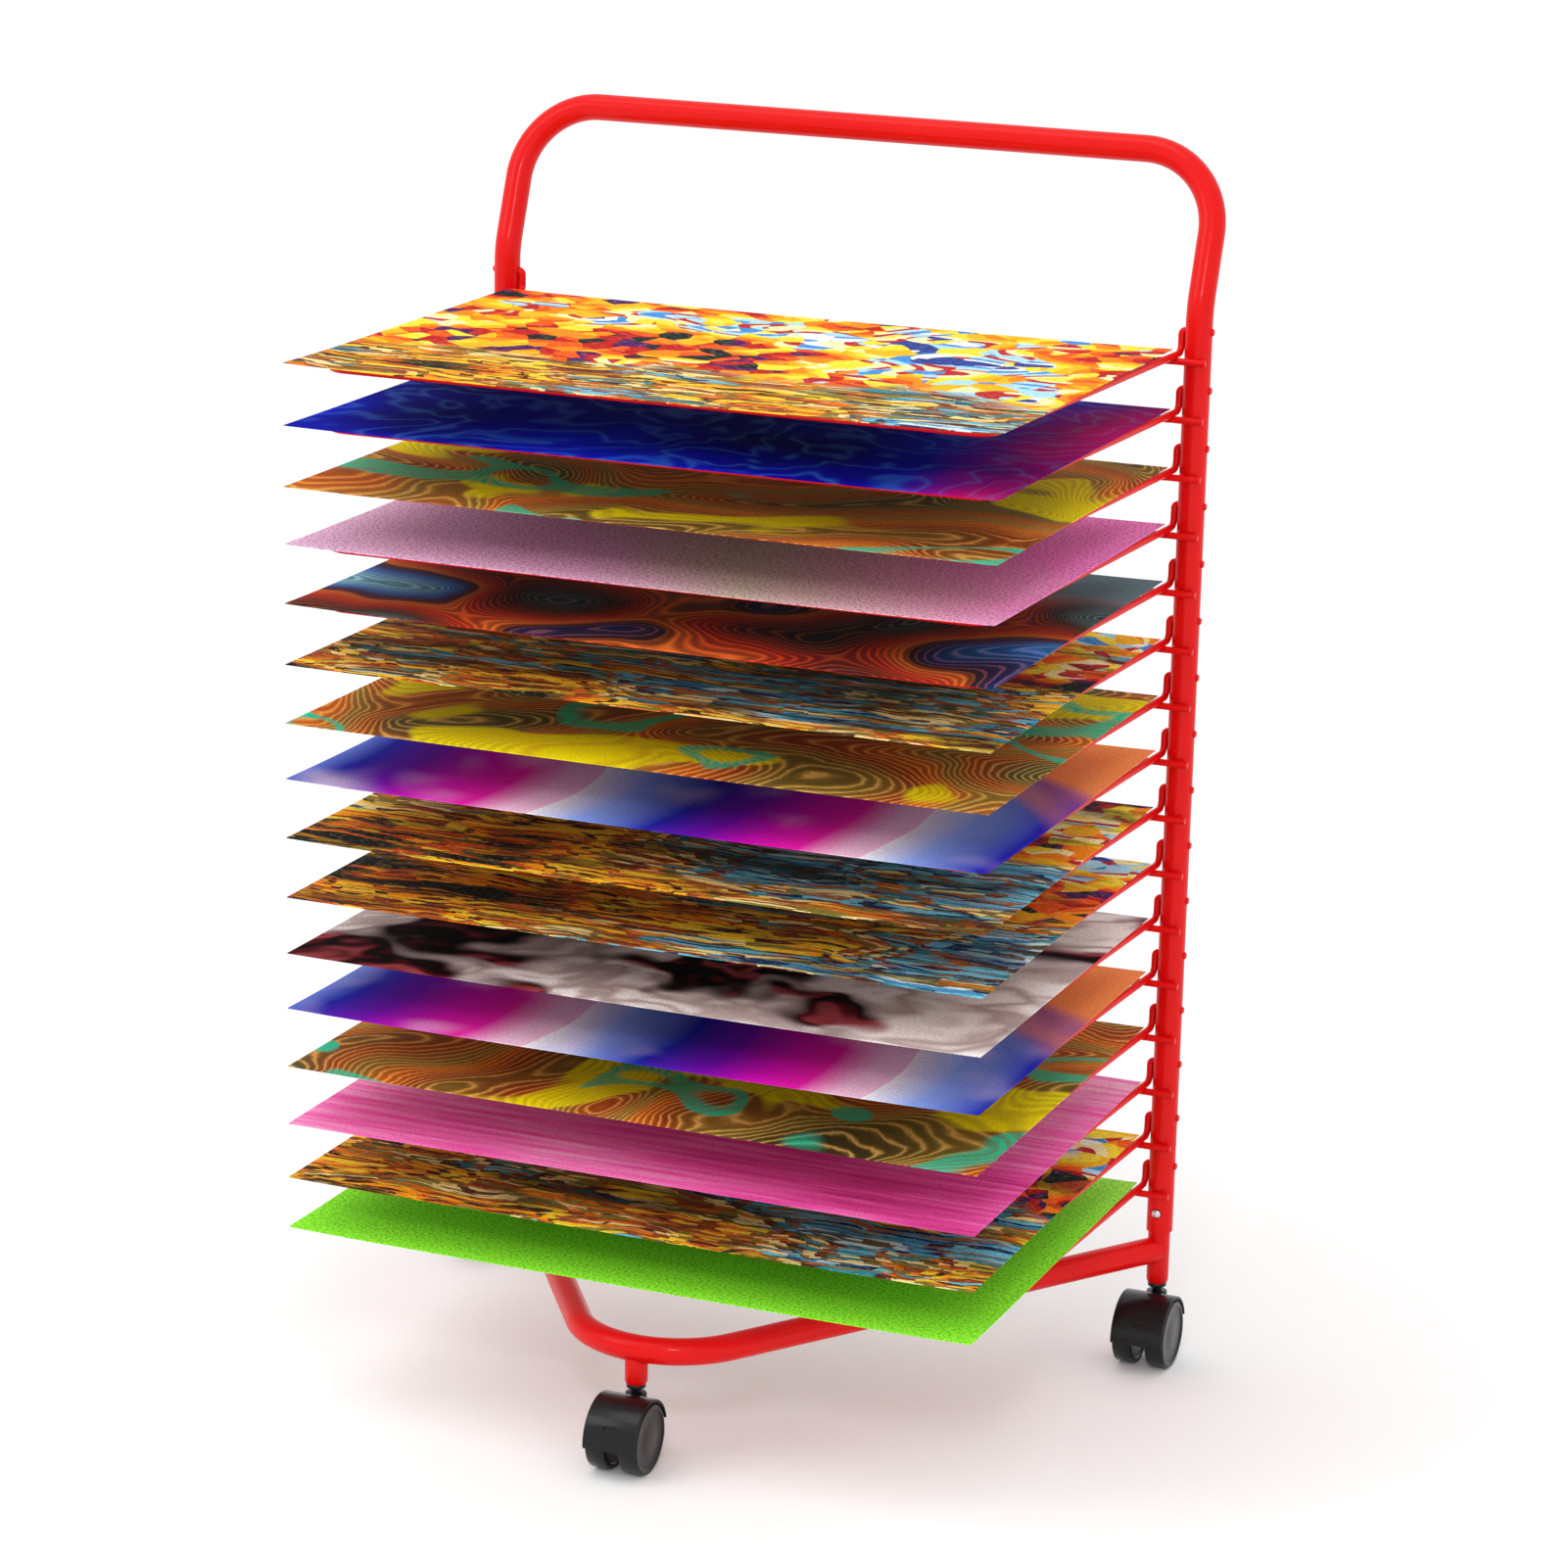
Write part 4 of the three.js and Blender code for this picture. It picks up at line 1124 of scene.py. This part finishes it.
def sheet_slab(height, seed):
    """Thin slab: flat rectangle whose height gains a low wave, the product of two slow sines, and a
    curl, a high power of the distance from the middle line plus one of that from the rear."""
    u, v = np.meshgrid(np.linspace(0, 1, SHEET_COLUMNS), np.linspace(0, 1, SHEET_ROWS))
    x = SHEET_SHIFT + (u - 0.5) * SHEET_WIDTH
    y = post_y + SHEET_REAR - (1 - v) * SHEET_DEPTH
    phase = seed * 1.7
    wave = WAVE_HEIGHT * (1 + np.sin(7 * u + phase)) * (1 + np.sin(5 * v + 2 * phase)) / 2
    curl = CURL_HEIGHT + CURL_CHANGE * np.sin(phase)
    curl = curl * (np.abs(2 * u - 1) ** 6 + (1 - v) ** 8)
    z = height + SHEET_RISE + wave + curl
    under = np.stack([x, y, z], 2).reshape(-1, 3)
    over = under + (0, 0, SHEET_THICK)
    corners = np.arange(u.size).reshape(u.shape)
    near, far = corners[:-1], corners[1:]
    top = np.stack([near[:, :-1], near[:, 1:], far[:, 1:], far[:, :-1]], 2).reshape(-1, 4)
    border = [corners[0], corners[1:, -1], corners[-1, -2::-1], corners[-2:0:-1, 0]]
    edge = np.concatenate(border)
    ahead = np.roll(edge, -1)
    rim = np.stack([edge + u.size, ahead + u.size, ahead, edge], 1)
    faces = np.concatenate([top, top[:, ::-1] + u.size, rim])
    places = np.concatenate([np.stack([u, v], 2).reshape(-1, 2)] * 2)
    return np.concatenate([over, under]), faces, places, len(top)


for index, (body, height) in enumerate(pivot_heights.items()):
    number = body[-2:]
    points, faces, places, painted_faces = sheet_slab(height, index + 1)
    mesh = bpy.data.meshes.new(f"painted_sheet_{number}")
    mesh.from_pydata(points.tolist(), [], faces.tolist())
    uv = mesh.uv_layers.new(name="sheet_place")
    uv.data.foreach_set("uv", places[faces.ravel()].astype(np.float32).ravel())
    design, tones = DESIGNS[index]
    mesh.materials.append(painted(f"painting_{number}", design, index + 1, **tones))
    mesh.materials.append(PAPER)
    sides = np.zeros(len(faces), np.int32)
    sides[painted_faces : 2 * painted_faces] = 1
    mesh.polygons.foreach_set("material_index", sides)
    smooth(mesh)
    sheet = new_object(f"painted_sheet_{number}", mesh)
    fit(sheet, f"sheet_{number}", body)


# Studio: a plain pale floor, an even white surround and one broad soft light from high in front on
# the left. A large panel on the left and a small one in front leave their gleam along the tubes.
FLOOR_HALF = 30


def floor_white():
    """Matt near-white with a barely visible drift in its tone."""
    material, tree, shader = new_finish("studio_floor", Roughness=0.9)
    place = own_place(tree)
    feed(shader, Base_Color=place.noise(3.0, 2.0).mix((0.91, 0.91, 0.91), (0.93, 0.93, 0.93)))
    return material


floor_mesh = bpy.data.meshes.new("studio_floor")
floor_corners = np.array([(-1, -1, 0), (1, -1, 0), (1, 1, 0), (-1, 1, 0)]) * FLOOR_HALF
floor_mesh.from_pydata(floor_corners.tolist(), [], [(0, 1, 2, 3)])
floor_mesh.materials.append(floor_white())
floor = new_object("studio_floor", floor_mesh)

world = bpy.data.worlds.new("studio_surround")
world.use_nodes = True
surround = world.node_tree.nodes["Background"]
surround.inputs["Color"].default_value = (1.0, 1.0, 1.0, 1.0)
surround.inputs["Strength"].default_value = 1.0
bpy.context.scene.world = world
bpy.context.scene.view_settings.view_transform = "Standard"


def studio_light(name, kind, place, target_height, **settings):
    """A lamp at a place, turned so that it shines on a point above the middle of the floor."""
    data = bpy.data.lights.new(name, kind)
    for setting, value in settings.items():
        setattr(data, setting, value)
    aim = np.array([0, 0, target_height]) - place
    back = -aim / np.linalg.norm(aim)
    right = np.cross((0, 0, 1), back)
    right /= np.linalg.norm(right)
    stand(new_object(name, data), right, np.cross(back, right), back, place)


broad = {"energy": 0.5, "angle": math.radians(35)}
left = {"shape": "DISK", "size": 1.6, "energy": 14}
front = {"shape": "DISK", "size": 0.6, "energy": 18}
studio_light("broad_light", "SUN", (-0.8, -0.9, 4.0), 0.4, **broad)
studio_light("left_panel", "AREA", (-2.2, -2.0, 2.4), 0.5, **left)
studio_light("front_panel", "AREA", (1.0, -3.0, 2.4), 0.5, **front)
